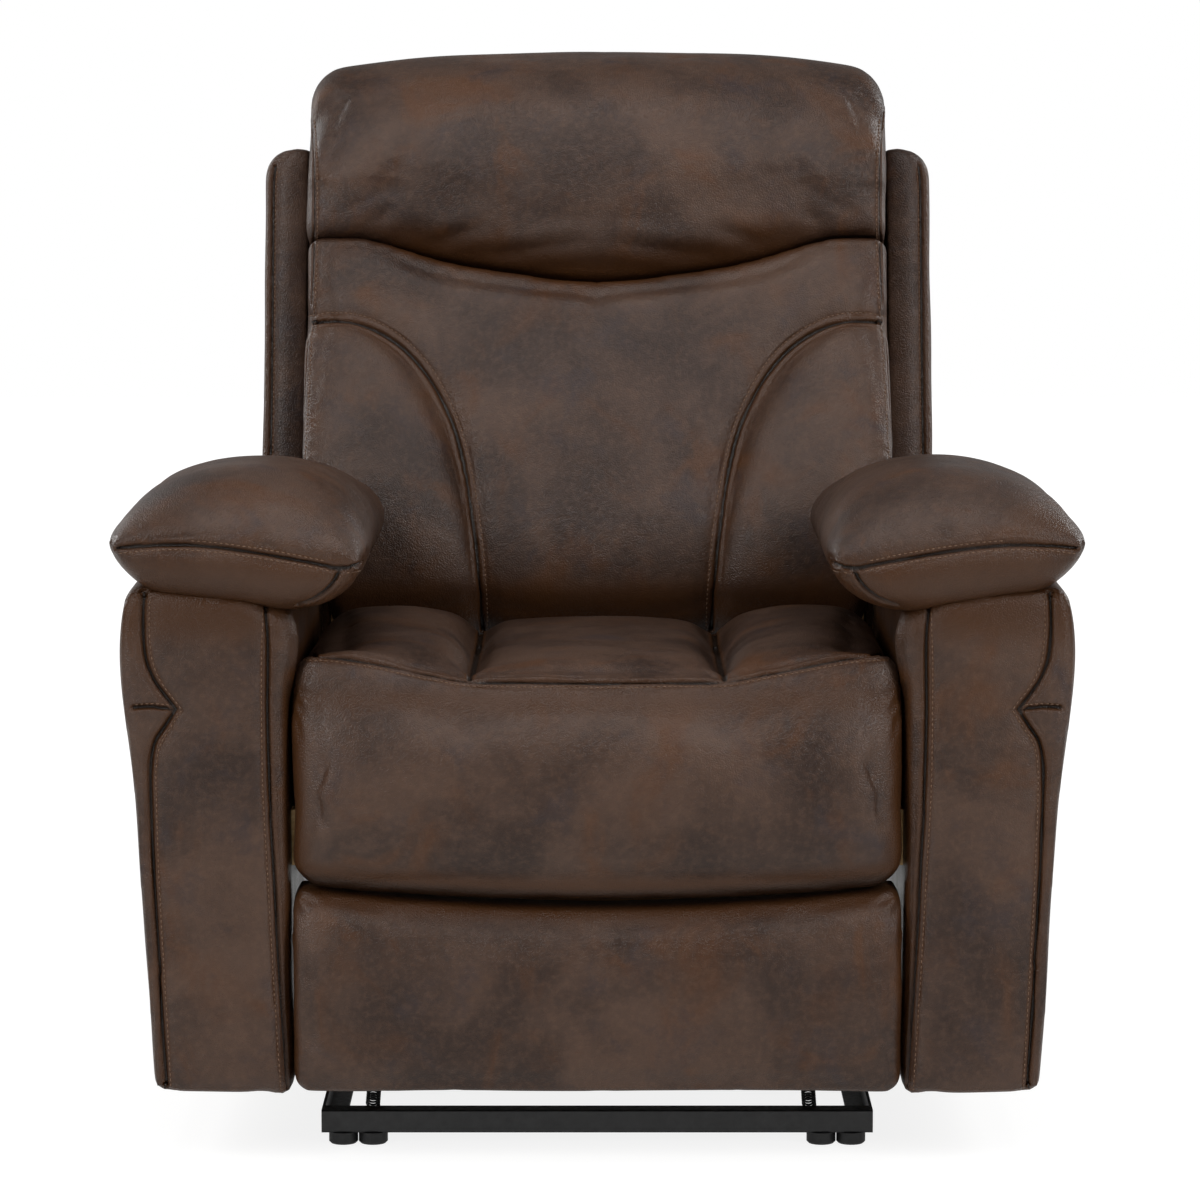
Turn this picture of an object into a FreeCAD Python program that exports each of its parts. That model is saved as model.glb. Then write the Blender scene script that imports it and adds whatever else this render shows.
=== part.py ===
"""Wall hugger recliner: floor frame, swing links, chair body, footrest linkage and reclining back.

Millimetres. +X is right as seen from the front, -Y is the front, +Z is up.
The origin is on the floor, at the middle of the chair's width and depth.
"left" and "right" are those of someone who faces the chair.
"""
import FreeCAD, Part
import math
import os

from FreeCAD import Vector

# Overall sizes
OVERALL_DEPTH = 920.0
CHAIR_CLEARANCE = 72.0          # floor to the underside of arms and footrest

# Steel and fasteners
STEEL = 3.0                     # thickness of plates and links
LAYER_GAP = 0.8                 # side play between stacked links
LINK_HALF = 10.0                # half width of a footrest link
SWING_HALF = 12.0               # half width of a swing link
RIVET_R = 4.0
RIVET_HEAD_R = 6.5
RIVET_HEAD = 2.0
RUNNING = 0.06                  # radial clearance of a turning joint
HEAD_PLAY = 0.2                 # side clearance under a rivet head
FLUSH_HEAD = 0.4                # head that stays within the side play of a layer
SEAT_GAP = 0.3                  # clearance of a soft piece beside its neighbour

# Floor frame
GLIDE_R = 14.5
GLIDE_HEIGHT = 12.0
GLIDE_EDGE = 2.0
GLIDE_SPACING = 29.6
GLIDE_INSET = 21.4              # end of the bar to the middle of the outer glide
BAR = 23.0                      # square tube
BAR_WALL = 1.6
BAR_CORNER = 2.0
BASE_INSET = 24.0               # inner face of the arm to the outer face of the floor rail
FRONT_BAR_SETBACK = 120.0       # front of the chair to the front bar
BASE_LENGTH = 514.0             # front of the front bar to the back of the rear bar
RAIL_FOOT = 22.0                # width of the rail's level leg

# Swing links that carry the chair forward
SWING_LENGTH = 190.0
SWING_LEAN = 38.0               # degrees behind upright at rest
SWING_PIVOT_Z = 52.0
SWING_SETBACK = 230.0           # front of the chair to the front swing pivot
SWING_SPACING = 230.0
SHAFT_R = 8.0
SHAFT_COLLAR_R = 11.0
SHAFT_COLLAR = 2.0

# Return springs
SPRING_INSET = 56.0             # end of the front bar to the spring's axis
SPRING_WIRE_R = 1.1
SPRING_COIL_R = 6.2
SPRING_TURNS = 6
SPRING_PITCH = 4.5
SPRING_FOOT_Z = 26.0
SPRING_LEAD = 5.0
SPRING_BEND = 5.0
SPRING_END_GAP = 0.5
SPRING_LUG_Y = 10.0             # front swing pivot to the spring's upper hook
SPRING_LUG_Z = 24.0
SPRING_LUG_HALF = 3.0
SPRING_LUG_REACH = 6.4          # middle of the lug's end to the end of the spring's leg

# Seat frame
ARM_GAP = 596.0                 # between the inner faces of the arms
SEAT_RAIL = 27.0
SEAT_RAIL_HEIGHT = 53.0
SEAT_RAIL_Z = 292.0
SEAT_SETBACK = 60.0             # front of the chair to the front rail
SEAT_TO_HINGE = 62.0            # rear rail to the back hinge
CROSS_RAIL = 25.0
WEBBING = 1.5
WEBBING_WIDTH = 55.0
STRAP_COUNT_LONG = 5
STRAP_COUNT_ACROSS = 4
BOLT_R = 4.0
BOLT_HEAD_R = 6.5
BOLT_HEAD = 5.0
BOLT_LENGTH = 40.0
BOLT_END = 6.0                  # timber left beyond a bolt's end
BOLT_INSET = 17.0               # inner face of the arm to a seat bolt
BOLT_SETBACKS = (140.0, 340.0, 440.0)
ARM_BOLT_SETBACKS = (60.0, 410.0)
ARM_BOLT_Z = 318.0
NUT = 6.0

# Side plates of the mechanism
PLATE_HALF = 13.0
FLANGE_INSET = 6.0
PLATE_SETBACK = 95.0            # seat frame's front to the plate's front centre
PLATE_REAR_INSET = 8.0

# Footrest linkage, closed; the pivots are worked out from these
FOOTREST_PIVOT_SETBACK = 169.0
LINK_PIVOT_SPACING = 105.0
FOOTREST_LINK = 200.2
FOOTREST_LEAN = 19.25           # degrees behind straight down when closed
CARRIER_REACH = 127.0           # lower front pivot to the footrest pivot
CARRIER_RISE = 135.0
CONTROL_ARM = 44.0              # short arm that turns the footrest
TUBE_R = 10.0
TUBE_WALL = 1.5
TUBE_PLACE = 0.25               # share of the front link from its upper pivot

# Footrest
FOOTREST_SETBACK = 20.0         # front of the chair to the front of the pad
PAD_DEPTH = 45.0
BOARD = 15.0
FOOTREST_HEIGHT = 205.0         # at its ends
FOOTREST_CROWN = 17.0           # how much lower its top is at the middle
FOOTREST_SIDE = 1.5             # gap to each arm
BRACKET_FLANGE = 28.0

# Seat cushion
SEAT_SIDE = 2.0                 # gap to each arm
ROLL_SETBACK = 13.0             # front of the chair to the front of the roll
ROLL_DROP = 11.0                # seat rail's underside to the bottom of the roll
ROLL_SAG = 17.0                 # how much lower the roll is at its middle
SEAT_CUSHION_OVERHANG = 16.0    # behind the rear rail
SEAT_GROOVE_X = 124.0

# Arms
ARM_PANEL_SETBACK = 25.0        # front of the pad to the front panel
ARM_BEHIND_HINGE = 28.0
ARM_WIDTH_FOOT = 135.0
ARM_BULGE = 163.5
ARM_TOP_INNER_Z = 549.0
ARM_TOP_OUTER_Z = 563.0
ARM_TOP_INNER = 14.0            # inner face to the top's inner edge
ARM_TOP_OUTER = 150.0           # inner face to the top's outer edge
ARM_WALL = 5.0
ARM_SKIN = 18.0
ARM_BOARD = 18.0
ARM_BOARD_WIDTH = 97.0
PAD_BEHIND_ARM = 18.0
PAD_OUTER = 172.0               # inner face of the arm to the pad's outer edge
PAD_OVERHANG = 75.0             # over the seat
PAD_TOP_Z = 676.0

# Release handle, in the outer side of the left arm
RELEASE_SETBACK = 310.0
RELEASE_Z = 340.0
BEZEL_LENGTH = 120.0
BEZEL_HEIGHT = 80.0
BEZEL_FLANGE = 4.0
BEZEL_X = 442.0
CUP_LENGTH = 100.0
CUP_HEIGHT = 60.0
CUP_DEPTH = 20.0
CUP_WALL = 2.0
LEVER_BARREL_R = 5.0
LEVER_PIN_R = 2.5
LEVER_REACH = 58.0
LEVER_THICKNESS = 4.0
LEVER_SIDE = 1.0
CABLE_R = 2.5
CABLE_Z = 262.0
CABLE_END_INSET = 100.0         # seat frame's rear to the cable's end
ANCHOR = 14.0
TRIGGER_INSET = 145.0
TRIGGER_HALF = 8.0

# Backrest, drawn upright about its hinge and then leaned back
BACK_LEAN = 16.0
HINGE_Z = 300.0
BACK_REAR = 130.0               # hinge to the rear face of the outside back
BACK_TOP = 736.0                # hinge to the top of the outside back
BACK_BOTTOM = -40.0
COVER = 12.0
POST_INSET = 7.0                # inner face of the arm to the post
POST_FRONT = 4.0
POST_BOTTOM = 45.0
POST_TOP = 720.0
BACK_RAIL_HEIGHT = 60.0
BACK_RAIL_LEVELS = (80.0, 330.0, POST_TOP - BACK_RAIL_HEIGHT)
BACK_RAIL = 26.0
BACK_STRAP_COUNT = 4
BACK_RECLINE = 38.0
BRACKET_TOP = 200.0
BRACKET_BEND = 62.0
BACK_BOLT_LEVELS = (105.0, 180.0)
WING_WIDTH = 53.0               # beyond the cushion's side
WING_TOP = 700.0
WING_FOOT = 240.0
CUSHION_OVERHANG = 20.0         # beyond the arms' inner faces
CUSHION_BACK = 2.2
CREASE_CENTRE = 535.0
CREASE_SIDE = 588.0
CREASE_GAP = 2.0

FRONT = -OVERALL_DEPTH / 2
REAR = OVERALL_DEPTH / 2
INNER = ARM_GAP / 2
BASE_HALF_WIDTH = INNER - BASE_INSET
GLIDE_OUTER_X = BASE_HALF_WIDTH - GLIDE_INSET
SPRING_X = BASE_HALF_WIDTH - SPRING_INSET
CUSHION_HALF = INNER + CUSHION_OVERHANG
BACK_HALF_WIDTH = CUSHION_HALF + WING_WIDTH
POST_OUTER_X = INNER - POST_INSET
FLANGE_OUTER_X = INNER - FLANGE_INSET
BOLT_X = INNER - BOLT_INSET
PAD_OUTER_X = INNER + PAD_OUTER
PAD_INNER_X = INNER - PAD_OVERHANG

LEAN = math.radians(BACK_LEAN)
HINGE_Y = REAR - BACK_REAR * math.cos(LEAN) - BACK_TOP * math.sin(LEAN)
SEAT_FRONT_Y = FRONT + SEAT_SETBACK
SEAT_REAR_Y = HINGE_Y - SEAT_TO_HINGE
SEAT_CUSHION_REAR_Y = SEAT_REAR_Y + SEAT_CUSHION_OVERHANG
BOLT_YS = [SEAT_FRONT_Y + y for y in BOLT_SETBACKS]
ARM_BOLT_YS = [SEAT_FRONT_Y + y for y in ARM_BOLT_SETBACKS]
PLATE_FRONT_Y = SEAT_FRONT_Y + PLATE_SETBACK
PLATE_REAR_Y = SEAT_REAR_Y - PLATE_REAR_INSET
ARM_REAR_Y = HINGE_Y + ARM_BEHIND_HINGE
PAD_REAR_Y = ARM_REAR_Y + PAD_BEHIND_ARM
RELEASE_Y = FRONT + RELEASE_SETBACK
CABLE_END_Y = SEAT_REAR_Y - CABLE_END_INSET
TRIGGER_Y = SEAT_REAR_Y - TRIGGER_INSET
OUT = "parts"
SOLIDS = {}


# Helpers

def save(name, *solids):
    """Keeps one node, made of one or more closed solids."""
    SOLIDS[name] = list(solids)


def box(x, y, z):
    """A box between pairs of limits."""
    corner = Vector(min(x), min(y), min(z))
    return Part.makeBox(abs(x[1] - x[0]), abs(y[1] - y[0]), abs(z[1] - z[0]), corner)


def mirror(shape):
    """The same piece on the other side of the chair."""
    return shape.mirror(Vector(0, 0, 0), Vector(1, 0, 0))


def both(name, shape):
    """Saves a piece of the right side and its mirror image."""
    save(name + "_right", shape)
    save(name + "_left", mirror(shape))


def layer(number):
    """Inner and outer X of a steel layer, counted inwards from the floor rail."""
    outer = BASE_HALF_WIDTH - number * (STEEL + LAYER_GAP)
    return outer - STEEL, outer


def line(a, b):
    return Part.makeLine(a, b)


def arc(a, middle, b):
    return Part.Arc(a, middle, b).toShape()


def prism(edges, travel):
    """Extrudes the face that the edges enclose."""
    return Part.Face(Part.Wire(edges)).extrude(travel)


def link_bar(p, q, half, x):
    """A flat link with round ends, from pivot p to pivot q, each (y, z)."""
    start, end = Vector(x[0], *p), Vector(x[0], *q)
    along = (end - start).normalize() * half
    across = Vector(0, -along.z, along.y)
    edges = [
        line(start + across, end + across),
        arc(end + across, end + along, end - across),
        line(end - across, start - across),
        arc(start - across, start - along, start + across),
    ]
    return prism(edges, Vector(x[1] - x[0], 0, 0))


def pin(p, x, radius):
    """A cylinder along X about the pivot p, which is (y, z)."""
    return Part.makeCylinder(radius, x[1] - x[0], Vector(x[0], *p), Vector(1, 0, 0))


def fused(shapes):
    """One solid from pieces that touch or overlap."""
    whole = shapes[0].multiFuse(shapes[1:]) if len(shapes) > 1 else shapes[0]
    return whole.removeSplitter()


def drilled(shape, loose=(), tight=(), radius=RIVET_R):
    """Cuts holes at the loose pivots with running clearance, and at the tight ones for a fixed rivet."""
    through = (shape.BoundBox.XMin - 1, shape.BoundBox.XMax + 1)
    for p in loose:
        shape = shape.cut(pin(p, through, radius + RUNNING))
    for p in tight:
        shape = shape.cut(pin(p, through, radius))
    return shape


def rivet(p, inner, outer, shoulder=None, inner_head=RIVET_HEAD):
    """A rivet through two layers, given by their X ranges, with a spacer in a skipped layer."""
    low = inner[0] - HEAD_PLAY
    high = outer[1] + HEAD_PLAY
    parts = [
        pin(p, (low - inner_head, low), RIVET_HEAD_R),
        pin(p, (low, high), RIVET_R),
        pin(p, (high, high + RIVET_HEAD), RIVET_HEAD_R),
    ]
    if shoulder:
        parts.append(pin(p, (shoulder[0] - LAYER_GAP / 2, shoulder[1] + LAYER_GAP / 2), RIVET_HEAD_R))
    return fused(parts)


def loft(wires):
    return Part.makeLoft(wires, True, True)


def turned(point, degrees):
    """A (y, z) vector turned towards the front at its lower end."""
    angle = math.radians(degrees)
    y, z = point
    return y * math.cos(angle) + z * math.sin(angle), z * math.cos(angle) - y * math.sin(angle)


def plus(a, b):
    return a[0] + b[0], a[1] + b[1]


def along_x_span(half, count, width):
    """Middles of equal straps spread over a width."""
    step = (2 * half - width) / (count - 1)
    return [-half + width / 2 + step * i for i in range(count)]


# Pivots, as (y, z), with the chair at rest

SWING_TOP = turned((0, SWING_LENGTH), SWING_LEAN)
SWING_BASE = [(FRONT + SWING_SETBACK, SWING_PIVOT_Z), (FRONT + SWING_SETBACK + SWING_SPACING, SWING_PIVOT_Z)]
SWING_CHAIR = [plus(p, SWING_TOP) for p in SWING_BASE]

PLATE_Z = SEAT_RAIL_Z - STEEL - PLATE_HALF
LINK_VECTOR = turned((0, -FOOTREST_LINK), -FOOTREST_LEAN)
PIVOT_A = (FRONT + FOOTREST_PIVOT_SETBACK, PLATE_Z)
PIVOT_B = (PIVOT_A[0] + LINK_PIVOT_SPACING, PLATE_Z)
PIVOT_C = plus(PIVOT_A, LINK_VECTOR)
PIVOT_D = plus(PIVOT_B, LINK_VECTOR)
PIVOT_E = plus(PIVOT_C, (-CARRIER_REACH, CARRIER_RISE))
ARM_VECTOR = tuple(-v * CONTROL_ARM / FOOTREST_LINK for v in LINK_VECTOR)
PIVOT_F = plus(PIVOT_C, ARM_VECTOR)
PIVOT_G = plus(PIVOT_E, ARM_VECTOR)

HINGE = (HINGE_Y, HINGE_Z)
TRIGGER = (TRIGGER_Y, CABLE_Z)

RAIL_LAYER, SWING_LAYER, PLATE_LAYER, CONTROL_LAYER, LINK_LAYER, CARRIER_LAYER = (
    layer(i) for i in range(6)
)
POST_INNER_X = CONTROL_LAYER[1]
BRACKET_Y = POST_FRONT + BACK_RAIL + PLATE_HALF + LAYER_GAP


# Floor frame

def square_tube(y):
    """A cross bar of the floor frame, whose front face is at y."""
    x = (-BASE_HALF_WIDTH, BASE_HALF_WIDTH)
    z = (GLIDE_HEIGHT, GLIDE_HEIGHT + BAR)
    outer = box(x, (y, y + BAR), z)
    outer = outer.makeFillet(BAR_CORNER, [e for e in outer.Edges if abs(e.Length - 2 * BASE_HALF_WIDTH) < 0.01])
    bore = box(x, (y + BAR_WALL, y + BAR - BAR_WALL), (z[0] + BAR_WALL, z[1] - BAR_WALL))
    return outer.cut(bore)


def glide(x, y):
    """A round plastic glide under a bar."""
    body = Part.makeCylinder(GLIDE_R, GLIDE_HEIGHT, Vector(x, y, 0))
    lower = [e for e in body.Edges if e.BoundBox.ZMax < 0.01]
    return body.makeChamfer(GLIDE_EDGE, lower)


def floor_rail():
    """The right rail: an angle with two upright ears for the swing shafts."""
    y0 = FRONT + FRONT_BAR_SETBACK + BAR
    y1 = FRONT + FRONT_BAR_SETBACK + BASE_LENGTH - BAR
    upright = box(RAIL_LAYER, (y0, y1), (GLIDE_HEIGHT, GLIDE_HEIGHT + BAR))
    level = box((RAIL_LAYER[1] - RAIL_FOOT, RAIL_LAYER[1]), (y0, y1), (GLIDE_HEIGHT, GLIDE_HEIGHT + STEEL))
    ears = []
    for y, z in SWING_BASE:
        ears.append(link_bar((y, z), (y, GLIDE_HEIGHT + BAR / 2), SWING_HALF - 0.5, RAIL_LAYER))
        foot = box(RAIL_LAYER, (y - 2 * SWING_HALF, y + 2 * SWING_HALF), (GLIDE_HEIGHT + BAR / 2, GLIDE_HEIGHT + BAR))
        ears.append(foot)
    rail = fused([upright, level] + ears)
    return drilled(rail, loose=SWING_BASE, radius=SHAFT_R)


def floor_frame():
    front_y = FRONT + FRONT_BAR_SETBACK
    rear_y = front_y + BASE_LENGTH - BAR
    save("base_front_bar", square_tube(front_y))
    save("base_rear_bar", square_tube(rear_y))
    both("base_rail", floor_rail())
    feet = []
    for y in (front_y + BAR / 2, rear_y + BAR / 2):
        for side in (-1, 1):
            for x in (GLIDE_OUTER_X, GLIDE_OUTER_X - GLIDE_SPACING):
                feet.append(glide(side * x, y))
    save("glide_feet", *feet)


def spring_line():
    """Lower end of the spring, its length along its axis and its slope."""
    start = (FRONT + FRONT_BAR_SETBACK + BAR + SPRING_END_GAP, SPRING_FOOT_Z)
    run = SWING_BASE[0][0] + SPRING_LUG_Y - start[0]
    rise = SWING_PIVOT_Z + SPRING_LUG_Z - start[1]
    offset = 2 * SPRING_BEND
    length = math.sqrt(run * run + rise * rise - offset * offset)
    slope = math.degrees(math.atan2(rise, run) - math.atan2(offset, length))
    return start, length - SPRING_LUG_REACH, slope


def helix_point(angle, start_y):
    """Point and direction on the spring's coil in its own frame, angle being the turn so far."""
    climb = SPRING_PITCH / (2 * math.pi)
    point = Vector(SPRING_COIL_R * math.cos(angle), start_y + climb * angle, SPRING_COIL_R * math.sin(angle))
    direction = Vector(-SPRING_COIL_R * math.sin(angle), climb, SPRING_COIL_R * math.cos(angle))
    return point, direction.normalize()


def tangent_arc(start, corner, end):
    """The arc from start to end whose end tangents meet at corner."""
    half = (end - start).Length / 2
    middle = (start + end) / 2
    lean = (corner - start).getAngle(end - start)
    return arc(start, middle + (corner - middle).normalize() * half * math.tan(lean / 2), end)


def biarc(p, u, q, v):
    """Two arcs from p along u to q along v, smooth where they join."""
    chord = q - p
    both_ways = u + v
    b = chord.dot(both_ways)
    a = 2 * (u.dot(v) - 1)
    reach = (b - math.sqrt(b * b - a * chord.dot(chord))) / a
    first, second = p + u * reach, q - v * reach
    join = (first + second) / 2
    return [tangent_arc(p, first, join), tangent_arc(join, second, q)]


def return_spring():
    """The right spring as one tube: a straight leg, the coil and another leg."""
    start, length, slope = spring_line()
    ahead = Vector(0, 1, 0)
    bend = Vector(0, SPRING_BEND, SPRING_BEND)
    coil_start = SPRING_LEAD + SPRING_BEND
    begin, rising = helix_point(0, coil_start)
    finish = helix_point(2 * math.pi * SPRING_TURNS, coil_start)[0]
    foot = Vector(begin.x, 0, -SPRING_BEND)
    edges = [line(foot, begin - bend)]
    edges += biarc(begin - bend, ahead, begin, rising)
    points = []
    for i in range(2 * SPRING_TURNS):
        p, u = helix_point(math.pi * i, coil_start)
        q, v = helix_point(math.pi * (i + 1), coil_start)
        edges += biarc(p, u, q, v)
        points += [e.valueAt(e.FirstParameter) for e in edges[-2:]]
    edges += biarc(finish, rising, finish + bend, ahead)
    edges.append(line(finish + bend, Vector(begin.x, length, SPRING_BEND)))
    spring = Part.Wire(edges).makePipeShell([Part.Wire(Part.makeCircle(SPRING_WIRE_R, foot, ahead))], True, False)
    apart = 3
    least = min((points[i] - points[j]).Length for i in range(len(points)) for j in range(i + apart, len(points)))
    print("spring: least gap to itself %.2f mm" % (least - 2 * SPRING_WIRE_R))
    spring.rotate(foot, Vector(1, 0, 0), slope)
    spring.translate(Vector(SPRING_X, *start) - foot)
    return spring


# Swing links

def swing_links():
    for name, foot, top in zip(("front", "rear"), SWING_BASE, SWING_CHAIR):
        arm = link_bar(foot, top, SWING_HALF, SWING_LAYER)
        slot = link_bar(between(foot, top, 0.3), between(foot, top, 0.72), SWING_HALF / 3, SWING_LAYER)
        arm = drilled(arm.cut(slot), tight=[foot], radius=SHAFT_R)
        arm = drilled(arm, loose=[top])
        both(name + "_swing_link", arm)
        save(name + "_swing_shaft", swing_shaft(foot, name == "front"))


def between(p, q, share):
    return p[0] + (q[0] - p[0]) * share, p[1] + (q[1] - p[1]) * share


def swing_shaft(p, has_lugs):
    """The shaft that ties a left and a right swing link, with a lug for each spring."""
    end = RAIL_LAYER[1] + HEAD_PLAY
    parts = [pin(p, (-end, end), SHAFT_R)]
    for side in (-1, 1):
        x = sorted((side * end, side * (end + SHAFT_COLLAR)))
        parts.append(pin(p, x, SHAFT_COLLAR_R))
        if has_lugs:
            x = side * SPRING_X
            lug = link_bar(p, plus(p, (SPRING_LUG_Y, SPRING_LUG_Z)), SPRING_LUG_HALF, (x - STEEL / 2, x + STEEL / 2))
            parts.append(lug)
    return fused(parts)


# Chair body

def side_plate():
    """The right side plate: a flanged strip with legs to the swing links and an ear for the back hinge."""
    bars = [link_bar((PLATE_FRONT_Y, PLATE_Z), (PLATE_REAR_Y, PLATE_Z), PLATE_HALF, PLATE_LAYER)]
    for y, z in SWING_CHAIR:
        bars.append(link_bar((y, PLATE_Z), (y, z), PLATE_HALF, PLATE_LAYER))
    bars.append(link_bar((PLATE_REAR_Y, PLATE_Z), HINGE, PLATE_HALF, PLATE_LAYER))
    bars.append(link_bar(HINGE, (SWING_CHAIR[1][0], PLATE_Z - 2 * PLATE_HALF), PLATE_HALF, PLATE_LAYER))
    bars.append(link_bar(TRIGGER, (CABLE_END_Y, CABLE_Z), PLATE_HALF, PLATE_LAYER))
    flange = box((PLATE_LAYER[0], FLANGE_OUTER_X), (PLATE_FRONT_Y, PLATE_REAR_Y), (PLATE_Z + PLATE_HALF, SEAT_RAIL_Z))
    plate = fused(bars + [flange])
    for y in BOLT_YS:
        plate = plate.cut(bolt_hole(y))
    return drilled(plate, tight=SWING_CHAIR + [PIVOT_A, PIVOT_B, HINGE, TRIGGER])


def bolt_hole(y):
    return Part.makeCylinder(BOLT_R, BOLT_LENGTH, Vector(BOLT_X, y, SEAT_RAIL_Z - STEEL))


def bolt(y):
    """A hexagon bolt up through the plate's flange into the seat rail."""
    low = SEAT_RAIL_Z - STEEL
    shank = Part.makeCylinder(BOLT_R, BOLT_LENGTH, Vector(BOLT_X, y, low))
    corners = [
        Vector(BOLT_X + BOLT_HEAD_R * math.cos(math.radians(60 * i)), y + BOLT_HEAD_R * math.sin(math.radians(60 * i)),
               low - BOLT_HEAD)
        for i in range(7)
    ]
    head = Part.Face(Part.makePolygon(corners)).extrude(Vector(0, 0, BOLT_HEAD))
    return shank.fuse(head).removeSplitter()


def arm_bolt(y):
    """A bolt from inside the seat's side rail into the arm, with its nut in the arm."""
    inner = INNER - SEAT_RAIL
    wall = INNER + ARM_WALL
    p = (y, ARM_BOLT_Z)
    return fused([
        pin(p, (inner - BOLT_HEAD, inner), BOLT_HEAD_R),
        pin(p, (inner, wall + NUT), BOLT_R),
        pin(p, (wall, wall + NUT), BOLT_HEAD_R),
    ])


def seat_frame():
    outer = INNER
    inner = outer - SEAT_RAIL
    z = (SEAT_RAIL_Z, SEAT_RAIL_Z + SEAT_RAIL_HEIGHT)
    rail = box((inner, outer), (SEAT_FRONT_Y, SEAT_REAR_Y), (z[0], z[1] + WEBBING))
    for y in BOLT_YS:
        rail = rail.cut(bolt_hole(y))
    rail = drilled(rail, tight=[(y, ARM_BOLT_Z) for y in ARM_BOLT_YS], radius=BOLT_R)
    both("seat_side_rail", rail)
    save("seat_front_rail", box((-inner, inner), (SEAT_FRONT_Y, SEAT_FRONT_Y + CROSS_RAIL), z))
    save("seat_rear_rail", box((-inner, inner), (SEAT_REAR_Y - CROSS_RAIL, SEAT_REAR_Y), z))
    bolts = [bolt(y) for y in BOLT_YS] + [arm_bolt(y) for y in ARM_BOLT_YS]
    save("seat_bolts", *(bolts + [mirror(b) for b in bolts]))
    both("side_plate", side_plate())
    save("seat_webbing", *seat_webbing(inner, outer, z[1]))


def seat_webbing(inner, outer, z):
    """Straps from front to rear, with straps across on top of them."""
    straps = []
    for x in along_x_span(inner - WEBBING_WIDTH / 2, STRAP_COUNT_LONG, WEBBING_WIDTH):
        strap = box((x - WEBBING_WIDTH / 2, x + WEBBING_WIDTH / 2),
                    (SEAT_FRONT_Y + LAYER_GAP, SEAT_REAR_Y), (z, z + WEBBING))
        straps.append(strap)
    middle = (SEAT_FRONT_Y + SEAT_REAR_Y) / 2
    for y in along_x_span(SEAT_REAR_Y - middle - CROSS_RAIL, STRAP_COUNT_ACROSS, WEBBING_WIDTH):
        strap = box((-outer, outer),
                    (middle + y - WEBBING_WIDTH / 2, middle + y + WEBBING_WIDTH / 2),
                    (z + WEBBING, z + 2 * WEBBING))
        straps.append(strap)
    return straps


def plate_rivets():
    """Rivets held by the side plates: swing links, footrest links and the back hinge."""
    rivets = [rivet(p, PLATE_LAYER, SWING_LAYER) for p in SWING_CHAIR]
    rivets += [rivet(p, LINK_LAYER, PLATE_LAYER, CONTROL_LAYER) for p in (PIVOT_A, PIVOT_B)]
    rivets.append(rivet(HINGE, CONTROL_LAYER, PLATE_LAYER))
    rivets += [mirror(r) for r in rivets]
    rivets.append(mirror(rivet(TRIGGER, PLATE_LAYER, SWING_LAYER)))
    save("plate_rivets", *rivets)


def three_lobe(y, half, bottom, side_top, crest, groove, middle, groove_x, bottom_sag=0.0, side_bulge=1.2):
    """One cross section of the seat cushion: two raised bolsters beside a flatter middle."""
    def at(x, z):
        return Vector(x, y, z)

    crest_x = (half + groove_x) / 2
    side_z = (bottom + side_top) / 2
    edges = [
        arc(at(-half, bottom), at(0, bottom - bottom_sag - 0.5), at(half, bottom)),
        arc(at(half, bottom), at(half + side_bulge, side_z), at(half, side_top)),
        arc(at(half, side_top), at(crest_x, crest), at(groove_x, groove)),
        arc(at(groove_x, groove), at(0, middle), at(-groove_x, groove)),
        arc(at(-groove_x, groove), at(-crest_x, crest), at(-half, side_top)),
        arc(at(-half, side_top), at(-half - side_bulge, side_z), at(-half, bottom)),
    ]
    return Part.Wire(edges)


def seat_cushion():
    """Crowned seat with two channels, whose front rolls down over the seat's front rail."""
    half = INNER - SEAT_SIDE
    deck = SEAT_RAIL_Z + SEAT_RAIL_HEIGHT + 2 * WEBBING + SEAT_GAP
    roll = FRONT + ROLL_SETBACK
    low = SEAT_RAIL_Z - ROLL_DROP
    sections = [
        # y, half, bottom, side_top, crest, groove, middle, bottom_sag
        (SEAT_CUSHION_REAR_Y, half - 14, low, deck + 82, deck + 106, deck + 84, deck + 98, ROLL_SAG),
        (SEAT_CUSHION_REAR_Y - 70, half - 3, low, deck + 116, deck + 146, deck + 106, deck + 124, ROLL_SAG),
        (SEAT_CUSHION_REAR_Y - 216, half - 1.2, low, deck + 128, deck + 159, deck + 112, deck + 135, ROLL_SAG),
        (roll + 147, half - 1.2, low, deck + 132, deck + 157, deck + 116, deck + 135, ROLL_SAG),
        (roll + 50, half - 1.2, low, deck + 138, deck + 149, deck + 125, deck + 131, ROLL_SAG),
        (roll + 24, half - 1.2, low, deck + 124, deck + 134, deck + 119, deck + 124, ROLL_SAG),
        (roll + 7, half - 3, low + 12, deck + 90, deck + 98, deck + 93, deck + 98, ROLL_SAG),
        (roll, half - 9, low + 40, deck + 48, deck + 56, deck + 55, deck + 60, ROLL_SAG),
    ]
    wires = [
        three_lobe(y, h, b, st, c, g, m, SEAT_GROOVE_X, sag)
        for y, h, b, st, c, g, m, sag in sections
    ]
    body = loft(wires)
    rest = box((-ARM_GAP, ARM_GAP), (SEAT_FRONT_Y - SEAT_GAP, REAR), (0, deck))
    save("seat_cushion", body.cut(rest))


# Arms

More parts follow.
